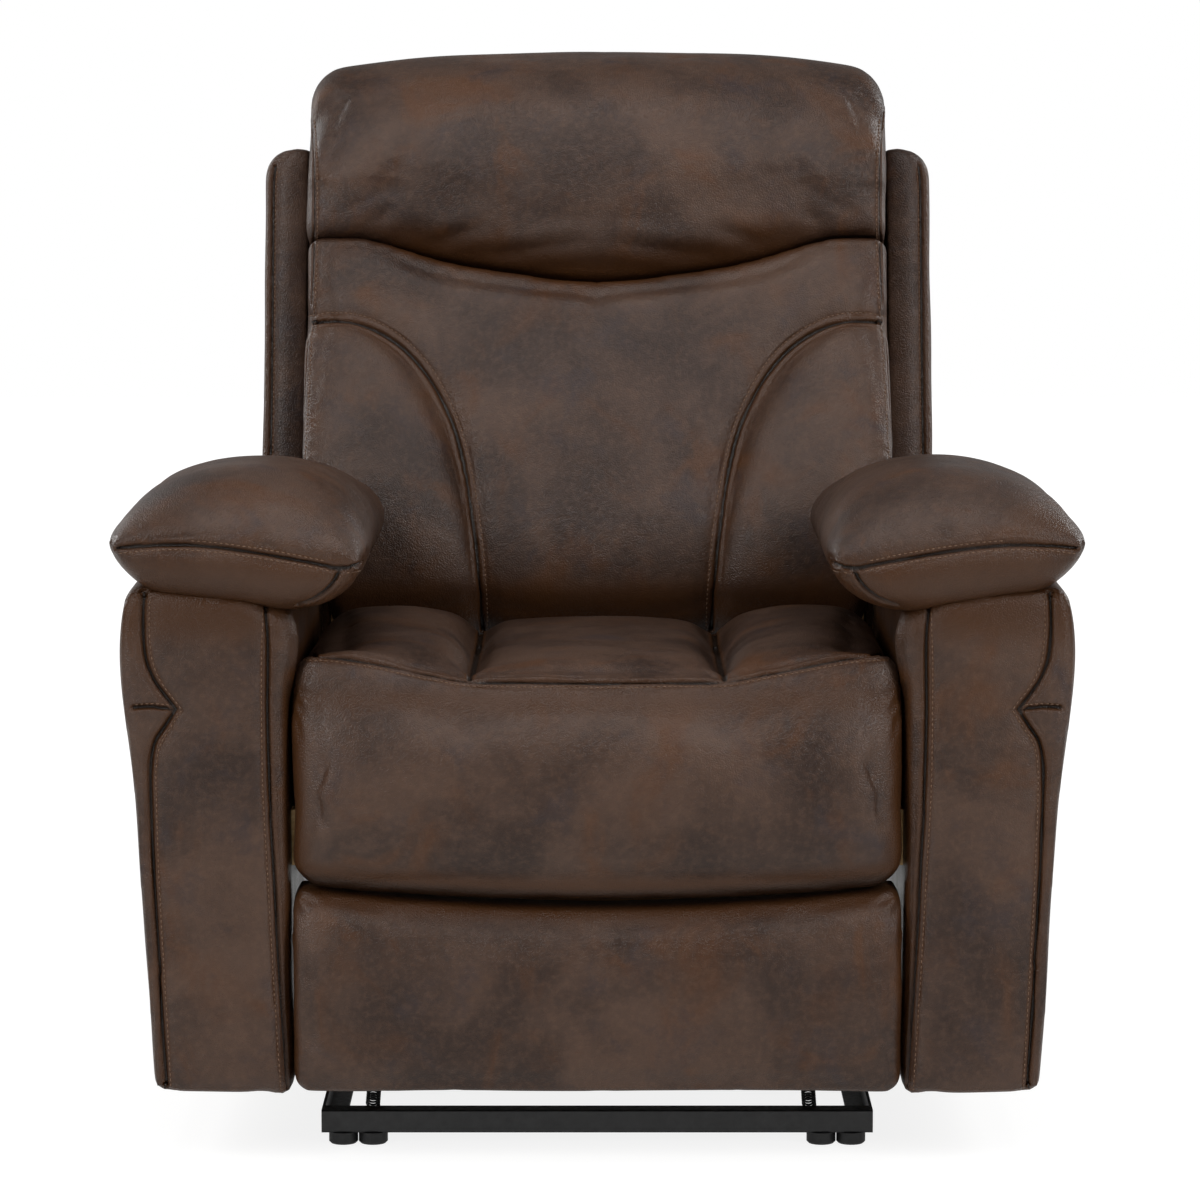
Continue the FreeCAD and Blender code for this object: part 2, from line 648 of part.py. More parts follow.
def arm_outline(y):
    """Front outline of the right arm casing, at depth y."""
    inner = INNER

    def at(x, z):
        return Vector(inner + x, y, z)

    foot = CHAIR_CLEARANCE
    waist_z = ARM_TOP_INNER_Z - 129.0
    corner = 16.0
    waist = ARM_TOP_OUTER - 1.0
    return [
        line(at(0, foot), at(ARM_WIDTH_FOOT - corner, foot)),
        arc(at(ARM_WIDTH_FOOT - corner, foot), at(ARM_WIDTH_FOOT - 4.5, foot + 4.5), at(ARM_WIDTH_FOOT, foot + corner)),
        line(at(ARM_WIDTH_FOOT, foot + corner), at(waist, waist_z)),
        arc(at(waist, waist_z), at(ARM_BULGE, ARM_TOP_OUTER_Z - 62), at(ARM_TOP_OUTER, ARM_TOP_OUTER_Z)),
        line(at(ARM_TOP_OUTER, ARM_TOP_OUTER_Z), at(ARM_TOP_INNER, ARM_TOP_INNER_Z)),
        arc(at(ARM_TOP_INNER, ARM_TOP_INNER_Z), at(2.5, ARM_TOP_INNER_Z - 28), at(0, ARM_TOP_INNER_Z - 75)),
        line(at(0, ARM_TOP_INNER_Z - 75), at(0, foot)),
    ]


def cavity_limits():
    """Inside of the arm casing, where the timber frame stands."""
    x = (INNER + ARM_WALL, INNER + ARM_WALL + ARM_BOARD_WIDTH)
    y = (FRONT + ARM_PANEL_SETBACK + ARM_SKIN, ARM_REAR_Y - ARM_SKIN)
    z = (CHAIR_CLEARANCE + ARM_SKIN, ARM_TOP_INNER_Z - ARM_SKIN)
    return x, y, z


def arm_casing():
    y0 = FRONT + ARM_PANEL_SETBACK
    body = prism(arm_outline(y0), Vector(0, ARM_REAR_Y - y0, 0))
    front_edges = [
        e for e in body.Edges
        if e.BoundBox.YMax < y0 + 0.01 and e.BoundBox.ZMin < ARM_TOP_INNER_Z - 1 and e.BoundBox.ZMax > CHAIR_CLEARANCE + 1
    ]
    body = body.makeFillet(7.0, front_edges)
    return body.cut(box(*cavity_limits()))


def arm_frame():
    """Timber inside the arm: two uprights between a top and a bottom board."""
    x, y, z = cavity_limits()
    mid_z = (z[0] + ARM_BOARD, z[1] - ARM_BOARD)
    return [
        box(x, y, (z[0], z[0] + ARM_BOARD)),
        box(x, y, (z[1] - ARM_BOARD, z[1])),
        box(x, (y[0], y[0] + ARM_BOARD), mid_z),
        box(x, (y[1] - ARM_BOARD, y[1]), mid_z),
    ]


def pad_section(y, inner_in, outer_in, drop):
    """One cross section of the right arm pad: flat below, a long crown above, drawn in on each side."""
    inner = INNER
    slope = (ARM_TOP_OUTER_Z - ARM_TOP_INNER_Z) / (ARM_TOP_OUTER - ARM_TOP_INNER)

    def on_top(x):
        return ARM_TOP_INNER_Z + (x - inner - ARM_TOP_INNER) * slope

    def at(x, z):
        return Vector(x, y, z)

    low_in = PAD_INNER_X + 33 + inner_in
    low_out = inner + ARM_TOP_OUTER - 2 - outer_in
    tip_in = (PAD_INNER_X + inner_in, on_top(PAD_INNER_X) + 46)
    tip_out = (PAD_OUTER_X - outer_in, on_top(PAD_OUTER_X) + 40)
    crown_x = (tip_in[0] + tip_out[0]) / 2
    bend_in = ((low_in + tip_in[0]) / 2 - 7, (on_top(low_in) + tip_in[1]) / 2 - 3)
    bend_out = ((low_out + tip_out[0]) / 2 + 6, (on_top(low_out) + tip_out[1]) / 2 - 4)
    edges = [
        line(at(low_in, on_top(low_in)), at(low_out, on_top(low_out))),
        arc(at(low_out, on_top(low_out)), at(*bend_out), at(*tip_out)),
        arc(at(*tip_out), at(crown_x, PAD_TOP_Z - drop), at(*tip_in)),
        arc(at(*tip_in), at(*bend_in), at(low_in, on_top(low_in))),
    ]
    return Part.Wire(edges)


def arm_pad():
    """Pillow on top of the right arm, closed and drawn in at both ends."""
    return loft([
        pad_section(FRONT, 38, 38, 44),
        pad_section(FRONT + 9, 17, 17, 20),
        pad_section(FRONT + 34, 2, 2, 5),
        pad_section(FRONT + 150, 0, 0, 0),
        pad_section(PAD_REAR_Y - 218, 2, 2, 18),
        pad_section(PAD_REAR_Y - 108, 22, 6, 27),
        pad_section(PAD_REAR_Y - 60, 92, 10, 33),
        pad_section(PAD_REAR_Y - 14, 106, 22, 46),
        pad_section(PAD_REAR_Y, 124, 40, 62),
    ])


def arms():
    casing = arm_casing()
    for y in ARM_BOLT_YS:
        casing = casing.cut(arm_bolt(y))
    save("arm_casing_right", casing)
    save("arm_casing_left", mirror(casing).cut(release_pocket()).cut(cable_hole()))
    frame = arm_frame()
    save("arm_frame_right", *frame)
    save("arm_frame_left", *[mirror(b) for b in frame])
    both("arm_pad", arm_pad())


# Release handle

def spread(centre, size, more=0.0):
    return centre - size / 2 - more, centre + size / 2 + more


def release_pocket():
    """Room in the left arm's outer side for the bezel and its cup."""
    flange = box((-ARM_GAP, -BEZEL_X), spread(RELEASE_Y, BEZEL_LENGTH, SEAT_GAP), spread(RELEASE_Z, BEZEL_HEIGHT, SEAT_GAP))
    cavity_x = cavity_limits()[0][1]
    cup = box((-BEZEL_X, -cavity_x + 1), spread(RELEASE_Y, CUP_LENGTH, SEAT_GAP), spread(RELEASE_Z, CUP_HEIGHT, SEAT_GAP))
    return flange.fuse(cup)


def lever_pivot():
    """Axis of the release lever, as (x, y)."""
    return -BEZEL_X + LEVER_BARREL_R - BEZEL_FLANGE + 2, RELEASE_Y - CUP_LENGTH / 2 + CUP_WALL + LEVER_BARREL_R + 2


def release_bezel():
    flange = box((-BEZEL_X - BEZEL_FLANGE, -BEZEL_X), spread(RELEASE_Y, BEZEL_LENGTH), spread(RELEASE_Z, BEZEL_HEIGHT))
    upright = [e for e in flange.Edges if abs(e.Length - BEZEL_FLANGE) < 0.01]
    flange = flange.makeFillet(12.0, upright)
    cup = box((-BEZEL_X - 0.01, -BEZEL_X + CUP_DEPTH), spread(RELEASE_Y, CUP_LENGTH), spread(RELEASE_Z, CUP_HEIGHT))
    inside = box((-BEZEL_X - BEZEL_FLANGE - 1, -BEZEL_X + CUP_DEPTH - CUP_WALL),
                 spread(RELEASE_Y, CUP_LENGTH, -CUP_WALL), spread(RELEASE_Z, CUP_HEIGHT, -CUP_WALL))
    x, y = lever_pivot()
    bore = Part.makeCylinder(LEVER_PIN_R + RUNNING, CUP_HEIGHT + 2, Vector(x, y, RELEASE_Z - CUP_HEIGHT / 2 - 1))
    return flange.fuse(cup).cut(inside).cut(bore).removeSplitter()


def release_lever():
    """Paddle that is pulled outwards; it turns about an upright axis at its front edge."""
    x, y = lever_pivot()
    inside = spread(RELEASE_Z, CUP_HEIGHT, -CUP_WALL - LEVER_SIDE)
    barrel = Part.makeCylinder(LEVER_BARREL_R, inside[1] - inside[0], Vector(x, y, inside[0]))
    pins = Part.makeCylinder(LEVER_PIN_R, CUP_HEIGHT, Vector(x, y, RELEASE_Z - CUP_HEIGHT / 2))
    paddle = box((x - LEVER_THICKNESS / 2, x + LEVER_THICKNESS / 2), (y, y + LEVER_REACH), inside)
    grip = Part.makeCylinder(LEVER_THICKNESS * 0.8, inside[1] - inside[0], Vector(x, y + LEVER_REACH, inside[0]))
    return fused([barrel, pins, paddle, grip])


def cable_points():
    """Route of the release cable from the cup, down inside the arm and in to the side plate."""
    start_x = -BEZEL_X + CUP_DEPTH
    end_x = -PLATE_LAYER[1] - ANCHOR
    return [
        Vector(start_x, RELEASE_Y, RELEASE_Z),
        Vector(start_x + 34, RELEASE_Y, RELEASE_Z),
        Vector(start_x + 62, RELEASE_Y + 52, CABLE_Z),
        Vector(end_x - 66, CABLE_END_Y, CABLE_Z),
        Vector(end_x, CABLE_END_Y, CABLE_Z),
    ]


def rounded_path(points):
    """Straight runs joined by tangent arcs, each as large as its two runs allow."""
    edges = []
    start = points[0]
    for before, corner, after in zip(points, points[1:], points[2:]):
        back = (before - corner).normalize()
        ahead = (after - corner).normalize()
        reach = 0.45 * min((before - corner).Length, (after - corner).Length)
        half_turn = (math.pi - back.getAngle(ahead)) / 2
        radius = reach / math.tan(half_turn)
        p, q = corner + back * reach, corner + ahead * reach
        towards = (back + ahead).normalize()
        middle = corner + towards * (radius / math.cos(half_turn) - radius)
        edges += [line(start, p), arc(p, middle, q)]
        start = q
        print("cable bend radius %.1f mm" % radius)
    edges.append(line(start, points[-1]))
    return edges


def release_cable():
    points = cable_points()
    path = Part.Wire(rounded_path(points))
    profile = Part.Wire(Part.makeCircle(CABLE_R, points[0], points[1] - points[0]))
    cable = Part.Wire(path).makePipe(Part.Face(profile))
    print("cable volume against section times length: %.4f" % (cable.Volume / (math.pi * CABLE_R ** 2 * path.Length)))
    return cable


def cable_hole():
    end = cable_points()[-1]
    return Part.makeCylinder(CABLE_R + SEAT_GAP, ARM_WALL + 4,
                             Vector(-INNER - ARM_WALL - 2, end.y, end.z), Vector(1, 0, 0))


def cable_anchor():
    """Block on the left side plate that holds the end of the cable."""
    return box((-PLATE_LAYER[1] - ANCHOR, -PLATE_LAYER[1]), spread(CABLE_END_Y, ANCHOR), spread(CABLE_Z, ANCHOR))


def trigger_lever():
    """Small lever on the left side plate that the cable pulls to set the footrest free."""
    arm = link_bar(TRIGGER, (CABLE_END_Y - ANCHOR - 4, CABLE_Z), TRIGGER_HALF, SWING_LAYER)
    heel = link_bar(TRIGGER, plus(TRIGGER, (-10, -24)), TRIGGER_HALF, SWING_LAYER)
    return mirror(drilled(fused([arm, heel]), loose=[TRIGGER]))


def release():
    save("release_bezel", release_bezel())
    save("release_lever", release_lever())
    save("release_cable", release_cable())
    save("cable_anchor", cable_anchor())
    save("trigger_lever", trigger_lever())


# Footrest

def footrest_linkage():
    front = link_bar(PIVOT_A, PIVOT_C, LINK_HALF, LINK_LAYER)
    both("footrest_front_link", drilled(front, loose=[PIVOT_A, PIVOT_C], tight=[PIVOT_F]))
    rear = link_bar(PIVOT_B, PIVOT_D, LINK_HALF, LINK_LAYER)
    both("footrest_rear_link", drilled(rear, loose=[PIVOT_B, PIVOT_D]))
    carrier = fused([
        link_bar(PIVOT_D, PIVOT_C, LINK_HALF, CARRIER_LAYER),
        link_bar(PIVOT_C, PIVOT_E, LINK_HALF, CARRIER_LAYER),
    ])
    both("carrier_link", drilled(carrier, loose=[PIVOT_E], tight=[PIVOT_C, PIVOT_D]))
    control = link_bar(PIVOT_F, PIVOT_G, LINK_HALF, CONTROL_LAYER)
    both("control_link", drilled(control, loose=[PIVOT_F, PIVOT_G]))
    carrier_rivets = [rivet(p, CARRIER_LAYER, LINK_LAYER) for p in (PIVOT_C, PIVOT_D)]
    save("carrier_rivets_right", *carrier_rivets)
    save("carrier_rivets_left", *[mirror(r) for r in carrier_rivets])
    control_rivet = rivet(PIVOT_F, LINK_LAYER, CONTROL_LAYER, inner_head=FLUSH_HEAD)
    save("control_rivets", control_rivet, mirror(control_rivet))
    footrest_rivets = [rivet(PIVOT_E, CARRIER_LAYER, LINK_LAYER), rivet(PIVOT_G, LINK_LAYER, CONTROL_LAYER)]
    save("footrest_rivets", *(footrest_rivets + [mirror(r) for r in footrest_rivets]))
    place = between(PIVOT_A, PIVOT_C, TUBE_PLACE)
    tube_x = (-LINK_LAYER[0], LINK_LAYER[0])
    save("footrest_torque_tube", pin(place, tube_x, TUBE_R).cut(pin(place, tube_x, TUBE_R - TUBE_WALL)))


def board_back_y():
    return FRONT + FOOTREST_SETBACK + PAD_DEPTH + BOARD


def footrest_bracket():
    """Right bracket: a web on the footrest pivots, with a flange against the board."""
    back = board_back_y()
    web = fused([
        link_bar(PIVOT_E, PIVOT_G, LINK_HALF, LINK_LAYER),
        box(LINK_LAYER, (back, PIVOT_E[0]), (PIVOT_E[1] - 60, PIVOT_E[1] + 22)),
        link_bar(PIVOT_E, (back + LINK_HALF, PIVOT_E[1] - 50), LINK_HALF, LINK_LAYER),
    ])
    flange = box((LINK_LAYER[1] - BRACKET_FLANGE, LINK_LAYER[1]), (back, back + STEEL),
                 (PIVOT_E[1] - 75, PIVOT_E[1] + 28))
    return drilled(fused([web, flange]), tight=[PIVOT_E, PIVOT_G])


def footrest_wire(y, inset, crown):
    """One upright section of the footrest pad, drawn in by inset, with a slightly bowed top."""
    half = INNER - FOOTREST_SIDE - inset
    low = CHAIR_CLEARANCE + inset
    high = CHAIR_CLEARANCE + FOOTREST_HEIGHT - inset
    edges = [
        arc(Vector(-half, y, low), Vector(0, y, low - 0.5), Vector(half, y, low)),
        arc(Vector(half, y, low), Vector(half + 1, y, (low + high) / 2), Vector(half, y, high)),
        arc(Vector(half, y, high), Vector(0, y, high - crown), Vector(-half, y, high)),
        arc(Vector(-half, y, high), Vector(-half - 1, y, (low + high) / 2), Vector(-half, y, low)),
    ]
    return Part.Wire(edges)


def footrest():
    footrest_linkage()
    both("footrest_bracket", footrest_bracket())
    half = INNER - FOOTREST_SIDE
    back = board_back_y()
    top = CHAIR_CLEARANCE + FOOTREST_HEIGHT - FOOTREST_CROWN
    save("footrest_board", box((-half + 6, half - 6), (back - BOARD, back), (CHAIR_CLEARANCE + 4, top - 4)))
    front = FRONT + FOOTREST_SETBACK
    save("footrest_pad", loft([
        footrest_wire(back - BOARD - SEAT_GAP, 2.0, FOOTREST_CROWN + 2),
        footrest_wire(front + 26, 1.2, FOOTREST_CROWN + 3),
        footrest_wire(front + 8, 7.0, FOOTREST_CROWN + 4),
        footrest_wire(front, 24.0, FOOTREST_CROWN + 6),
    ]))


# Backrest, in its own upright frame: x across, y rearwards from the hinge, z up from the hinge

def leaned(shape):
    """Moves a piece of the backrest from its upright frame to its place."""
    placed = shape.copy()
    placed.rotate(Vector(0, 0, 0), Vector(1, 0, 0), -BACK_LEAN)
    placed.translate(Vector(0, HINGE_Y, HINGE_Z))
    return placed


def save_leaned(name, *shapes):
    save(name, *[leaned(s) for s in shapes])


def back_frame():
    """Two posts and three cross rails of timber."""
    post = box((POST_INNER_X, POST_OUTER_X), (POST_FRONT, BACK_REAR - COVER), (POST_BOTTOM, POST_TOP))
    for bolt_solid in back_bolts():
        post = post.cut(bolt_solid)
    rail_y = (POST_FRONT, POST_FRONT + BACK_RAIL)
    across = (-POST_INNER_X, POST_INNER_X)
    rails = [box(across, rail_y, (low, low + BACK_RAIL_HEIGHT)) for low in BACK_RAIL_LEVELS]
    save_leaned("back_frame", post, mirror(post), *rails)


def back_webbing():
    """Upright straps on the front of the cross rails."""
    straps = []
    for x in along_x_span(POST_INNER_X - 20, BACK_STRAP_COUNT, WEBBING_WIDTH):
        straps.append(box((x - WEBBING_WIDTH / 2, x + WEBBING_WIDTH / 2), (POST_FRONT - WEBBING, POST_FRONT),
                          (BACK_RAIL_LEVELS[0], POST_TOP)))
    save_leaned("back_webbing", *straps)


def back_bracket():
    """Right steel bracket from the hinge rivet up the inner face of the post."""
    strip = fused([
        link_bar((0, 0), (BRACKET_Y, BRACKET_BEND), PLATE_HALF, CONTROL_LAYER),
        link_bar((BRACKET_Y, BRACKET_BEND), (BRACKET_Y, BRACKET_TOP), PLATE_HALF, CONTROL_LAYER),
    ])
    strip = drilled(strip, loose=[(0, 0)])
    return drilled(strip, tight=[(BRACKET_Y, level) for level in BACK_BOLT_LEVELS])


def back_bolts():
    """Right bolts that hold the bracket to the post."""
    head = (CONTROL_LAYER[0] - BOLT_HEAD, CONTROL_LAYER[0])
    shank = (CONTROL_LAYER[0], POST_OUTER_X - BOLT_END)
    return [
        fused([pin((BRACKET_Y, level), head, BOLT_HEAD_R), pin((BRACKET_Y, level), shank, BOLT_R)])
        for level in BACK_BOLT_LEVELS
    ]


def outside_back():
    """Rear panel with rounded upper corners."""
    half = BACK_HALF_WIDTH
    y = BACK_REAR - COVER
    r = 30.0
    k = r * (1 - math.sqrt(0.5))

    def at(x, z):
        return Vector(x, y, z)

    edges = [
        line(at(-half, BACK_BOTTOM), at(half, BACK_BOTTOM)),
        line(at(half, BACK_BOTTOM), at(half, WING_TOP - r)),
        arc(at(half, WING_TOP - r), at(half - k, WING_TOP - k), at(half - r, WING_TOP)),
        line(at(half - r, WING_TOP), at(CUSHION_HALF, BACK_TOP - 4)),
        arc(at(CUSHION_HALF, BACK_TOP - 4), at(0, BACK_TOP), at(-CUSHION_HALF, BACK_TOP - 4)),
        line(at(-CUSHION_HALF, BACK_TOP - 4), at(-half + r, WING_TOP)),
        arc(at(-half + r, WING_TOP), at(-half + k, WING_TOP - k), at(-half, WING_TOP - r)),
        line(at(-half, WING_TOP - r), at(-half, BACK_BOTTOM)),
    ]
    return prism(edges, Vector(0, COVER, 0))


def wing():
    """Right side wing: puffed in front, rounded at its upper outer corner, cut away above the arm."""
    rear = BACK_REAR - COVER
    inner = POST_OUTER_X
    lip = CUSHION_HALF + 1.5
    half = BACK_HALF_WIDTH

    def at(x, y):
        return Vector(x, y, BACK_BOTTOM)

    section = [
        line(at(inner, rear), at(inner, POST_FRONT)),
        line(at(inner, POST_FRONT), at(lip, POST_FRONT)),
        arc(at(lip, POST_FRONT), at((lip + half) / 2, -12), at(half - 3, 8)),
        arc(at(half - 3, 8), at(half - 0.6, (rear + 8) / 2), at(half, rear)),
        line(at(half, rear), at(inner, rear)),
    ]
    body = prism(section, Vector(0, 0, WING_TOP - BACK_BOTTOM))
    top_edges = [
        e for e in body.Edges
        if e.BoundBox.ZMin > WING_TOP - 0.01 and e.BoundBox.XMin > half - 6
    ]
    body = body.makeFillet(26.0, top_edges)
    nose = -16.0
    cut = Part.Face(Part.makePolygon([
        Vector(0, nose, WING_FOOT), Vector(0, rear, BACK_BOTTOM), Vector(0, rear, BACK_BOTTOM - 1),
        Vector(0, 2 * nose, BACK_BOTTOM - 1), Vector(0, 2 * nose, WING_FOOT), Vector(0, nose, WING_FOOT),
    ])).extrude(Vector(half + 50, 0, 0))
    return body.cut(cut)


def crease_block(above):
    """A block whose lower or upper side is the curved crease between headrest and cushion."""
    shift = CREASE_GAP / 2 if above else -CREASE_GAP / 2
    side = BACK_HALF_WIDTH
    far = 2 * BACK_TOP if above else BACK_BOTTOM

    def at(x, z):
        return Vector(x, -OVERALL_DEPTH / 2, z)

    rise = (CREASE_SIDE - CREASE_CENTRE) * (side / CUSHION_HALF) ** 2
    edges = [
        arc(at(-side, CREASE_CENTRE + rise + shift), at(0, CREASE_CENTRE + shift), at(side, CREASE_CENTRE + rise + shift)),
        line(at(side, CREASE_CENTRE + rise + shift), at(side, far)),
        line(at(side, far), at(-side, far)),
        line(at(-side, far), at(-side, CREASE_CENTRE + rise + shift)),
    ]
    return prism(edges, Vector(0, OVERALL_DEPTH, 0))


def back_section(v, half, side, bolster, groove_x, groove, middle):
    """One level section of the back cushion, with two bolsters beside the middle; depths are forward."""
    def at(x, y):
        return Vector(x, y, v)

    crest_x = (half + groove_x) / 2
    flat = half - 10
    edges = [
        line(at(-flat, CUSHION_BACK), at(flat, CUSHION_BACK)),
        arc(at(flat, CUSHION_BACK), at(half + 1, -side / 2), at(half, -side)),
        arc(at(half, -side), at(crest_x, -bolster), at(groove_x, -groove)),
        arc(at(groove_x, -groove), at(0, -middle), at(-groove_x, -groove)),
        arc(at(-groove_x, -groove), at(-crest_x, -bolster), at(-half, -side)),
        arc(at(-half, -side), at(-half - 1, -side / 2), at(-flat, CUSHION_BACK)),
    ]
    return Part.Wire(edges)


def back_cushion():
    """Lower cushion: a middle between two bolsters whose channels curve out towards the top."""
    half = CUSHION_HALF
    rows = [
        # level, half width, side, bolster, groove x, groove, middle
        (142.0, half - 42, 34, 60, half - 196, 48, 58),
        (178.0, half - 27, 52, 104, half - 195, 76, 104),
        (246.0, half - 26, 56, 122, half - 189, 86, 120),
        (320.0, half - 2, 54, 118, half - 175, 88, 116),
        (395.0, half - 1, 54, 106, half - 147, 86, 108),
        (450.0, half - 1, 56, 92, half - 106, 82, 102),
        (486.0, half - 1, 58, 76, half - 52, 71, 100),
        (530.0, half - 1, 58, 66, half - 22, 63, 98),
        (600.0, half - 1, 52, 57, half - 22, 55, 86),
    ]
    body = loft([back_section(*row) for row in rows])
    body = body.common(crease_block(False))
    save_leaned("back_cushion", body)


def head_section(x, top, front, belly):
    """One upright section of the headrest: a full front, a round top and a flat rear."""
    rear = BACK_REAR - COVER - 2

    def at(y, z):
        return Vector(x, y, z)

    low = 500.0
    shoulder = top - 44
    edges = [
        line(at(rear, low), at(-front + 26, low)),
        arc(at(-front + 26, low), at(-belly, (low + shoulder) / 2 + 6), at(-front, shoulder)),
        arc(at(-front, shoulder), at(-8, top), at(rear - 8, shoulder - 8)),
        line(at(rear - 8, shoulder - 8), at(rear, low)),
    ]
    return Part.Wire(edges)


def headrest():
    """Pillow over the top of the backrest, full in front and lower at its ends."""
    half = CUSHION_HALF
    ends = [
        # distance from the middle, top, front, belly
        (half, 752.0, 62, 76),
        (half - 14, 782.0, 82, 100),
        (half - 60, 797.0, 96, 124),
        (half - 160, 808.0, 101, 132),
        (0.0, 812.0, 102, 134),
    ]
    rows = [(-x, t, f, b) for x, t, f, b in ends] + [(x, t, f, b) for x, t, f, b in reversed(ends[:-1])]
    body = loft([head_section(*row) for row in rows])
    body = body.cut(box((-half - 9, half + 9), (CUSHION_BACK, REAR), (0, POST_TOP + SEAT_GAP)))
    body = body.cut(box((-half - 9, half + 9), (BACK_REAR - COVER - SEAT_GAP, REAR), (0, BACK_TOP + SEAT_GAP)))
    save_leaned("headrest", body.common(crease_block(True)))


def backrest():
    back_frame()
    back_webbing()
    both("back_bracket", leaned(back_bracket()))
    bolts = back_bolts()
    save_leaned("back_bolts", *(bolts + [mirror(b) for b in bolts]))
    save_leaned("outside_back", outside_back())
    both("back_wing", leaned(wing()))
    back_cushion()
    headrest()


def springs():
    right = return_spring()
    left = right.copy()
    left.translate(Vector(-2 * SPRING_X, 0, 0))
    save("return_springs", right, left)


def main():
    floor_frame()
    springs()
    swing_links()
    seat_frame()
    plate_rivets()
    seat_cushion()
    arms()
    release()
    footrest()
    backrest()
    os.makedirs(OUT, exist_ok=True)
    for name, solids in sorted(SOLIDS.items()):
        singles = [s for shape in solids for s in shape.Solids]
        for s in singles:
            if not s.isValid() or s.Volume <= 0:
                print("check", name, s.isValid(), round(s.Volume, 1))
        shape = singles[0] if len(singles) == 1 else Part.makeCompound(singles)
        shape.exportStep(os.path.join(OUT, name + ".step"))
    whole = Part.makeCompound([s for solids in SOLIDS.values() for s in solids]).BoundBox
    print("nodes", len(SOLIDS), "box", [round(v, 2) for v in (whole.XMin, whole.XMax, whole.YMin, whole.YMax, whole.ZMin, whole.ZMax)])


main()
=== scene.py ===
import bmesh
import bpy
import math
import numpy as np
from mathutils import Matrix, Vector, noise
from mathutils.bvhtree import BVHTree
from mathutils.kdtree import KDTree


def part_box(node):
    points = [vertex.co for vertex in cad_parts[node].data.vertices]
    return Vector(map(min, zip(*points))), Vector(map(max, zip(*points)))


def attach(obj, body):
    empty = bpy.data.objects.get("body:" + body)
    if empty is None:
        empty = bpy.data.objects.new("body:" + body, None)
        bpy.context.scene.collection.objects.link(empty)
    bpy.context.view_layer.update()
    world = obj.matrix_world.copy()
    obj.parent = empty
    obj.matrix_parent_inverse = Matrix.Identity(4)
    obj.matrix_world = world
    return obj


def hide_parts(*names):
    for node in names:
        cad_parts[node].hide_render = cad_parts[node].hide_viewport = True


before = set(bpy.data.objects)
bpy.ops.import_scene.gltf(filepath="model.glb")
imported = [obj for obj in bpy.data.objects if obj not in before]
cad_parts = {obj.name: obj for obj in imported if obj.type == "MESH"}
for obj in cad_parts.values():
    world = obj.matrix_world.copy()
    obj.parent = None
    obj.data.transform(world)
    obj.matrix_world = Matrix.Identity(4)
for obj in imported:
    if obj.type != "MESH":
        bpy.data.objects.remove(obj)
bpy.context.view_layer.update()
bpy.context.scene.view_settings.view_transform = "Standard"

# Camera, as the photograph was taken

PHOTO = 1200
LENS = 142.2
FOCAL = LENS / 36 * PHOTO
MIRROR = 1194                   # a pixel and its mirror image on the other side add up to this
EYE = Vector((0.0028, -4.96, 1.0756))
PITCH = math.radians(6.55)

camera = bpy.data.objects.new("Camera", bpy.data.cameras.new("Camera"))
bpy.context.scene.collection.objects.link(camera)
camera.location = EYE
camera.rotation_euler = (math.pi / 2 - PITCH, 0, 0)
camera.data.lens = LENS
camera.data.sensor_width = 36
camera.data.clip_end = 100
bpy.context.scene.camera = camera


def sight(px, py):
    """Direction in which the photograph shows a pixel."""
    right = (px - PHOTO / 2) / FOCAL
    up = (PHOTO / 2 - py) / FOCAL
    ahead = Vector((0, math.cos(PITCH), -math.sin(PITCH)))
    above = Vector((0, math.sin(PITCH), math.cos(PITCH)))
    return (ahead + Vector((right, 0, 0)) + above * up).normalized()


# The backrest's upright frame: x across, y rearwards and z up from the hinge

LEAN = math.radians(16)
HINGE = Vector((0, 0.1322, 0.3))


def leaned(points):
    """Points of the upright backrest, moved to where it leans."""
    p = np.asarray(points, float)
    out = p.copy()
    out[..., 1] = HINGE.y + p[..., 1] * math.cos(LEAN) + p[..., 2] * math.sin(LEAN)
    out[..., 2] = HINGE.z - p[..., 1] * math.sin(LEAN) + p[..., 2] * math.cos(LEAN)
    return out


def upright(points):
    """The reverse of leaned."""
    p = np.asarray(points, float)
    out = p.copy()
    y, z = p[..., 1] - HINGE.y, p[..., 2] - HINGE.z
    out[..., 1] = y * math.cos(LEAN) - z * math.sin(LEAN)
    out[..., 2] = y * math.sin(LEAN) + z * math.cos(LEAN)
    return out


# Curves

def smooth(xs, ys, x):
    """Values at x on a smooth curve through the keys, without overshoot."""
    xs, ys = np.asarray(xs, float), np.asarray(ys, float)
    h = np.diff(xs)
    s = np.diff(ys) / h
    before, after = s[:-1], s[1:]
    w1, w2 = 2 * h[1:] + h[:-1], h[1:] + 2 * h[:-1]
    same = before * after > 0
    inverse = w1 / np.where(same, before, 1) + w2 / np.where(same, after, 1)
    m = np.concatenate([s[:1], np.where(same, (w1 + w2) / inverse, 0), s[-1:]])
    x = np.clip(x, xs[0], xs[-1])
    i = np.clip(np.searchsorted(xs, x, side="right") - 1, 0, len(xs) - 2)
    t = (x - xs[i]) / h[i]
    return (
        (2 * t ** 3 - 3 * t ** 2 + 1) * ys[i] + (t ** 3 - 2 * t ** 2 + t) * h[i] * m[i]
        + (-2 * t ** 3 + 3 * t ** 2) * ys[i + 1] + (t ** 3 - t ** 2) * h[i] * m[i + 1]
    )


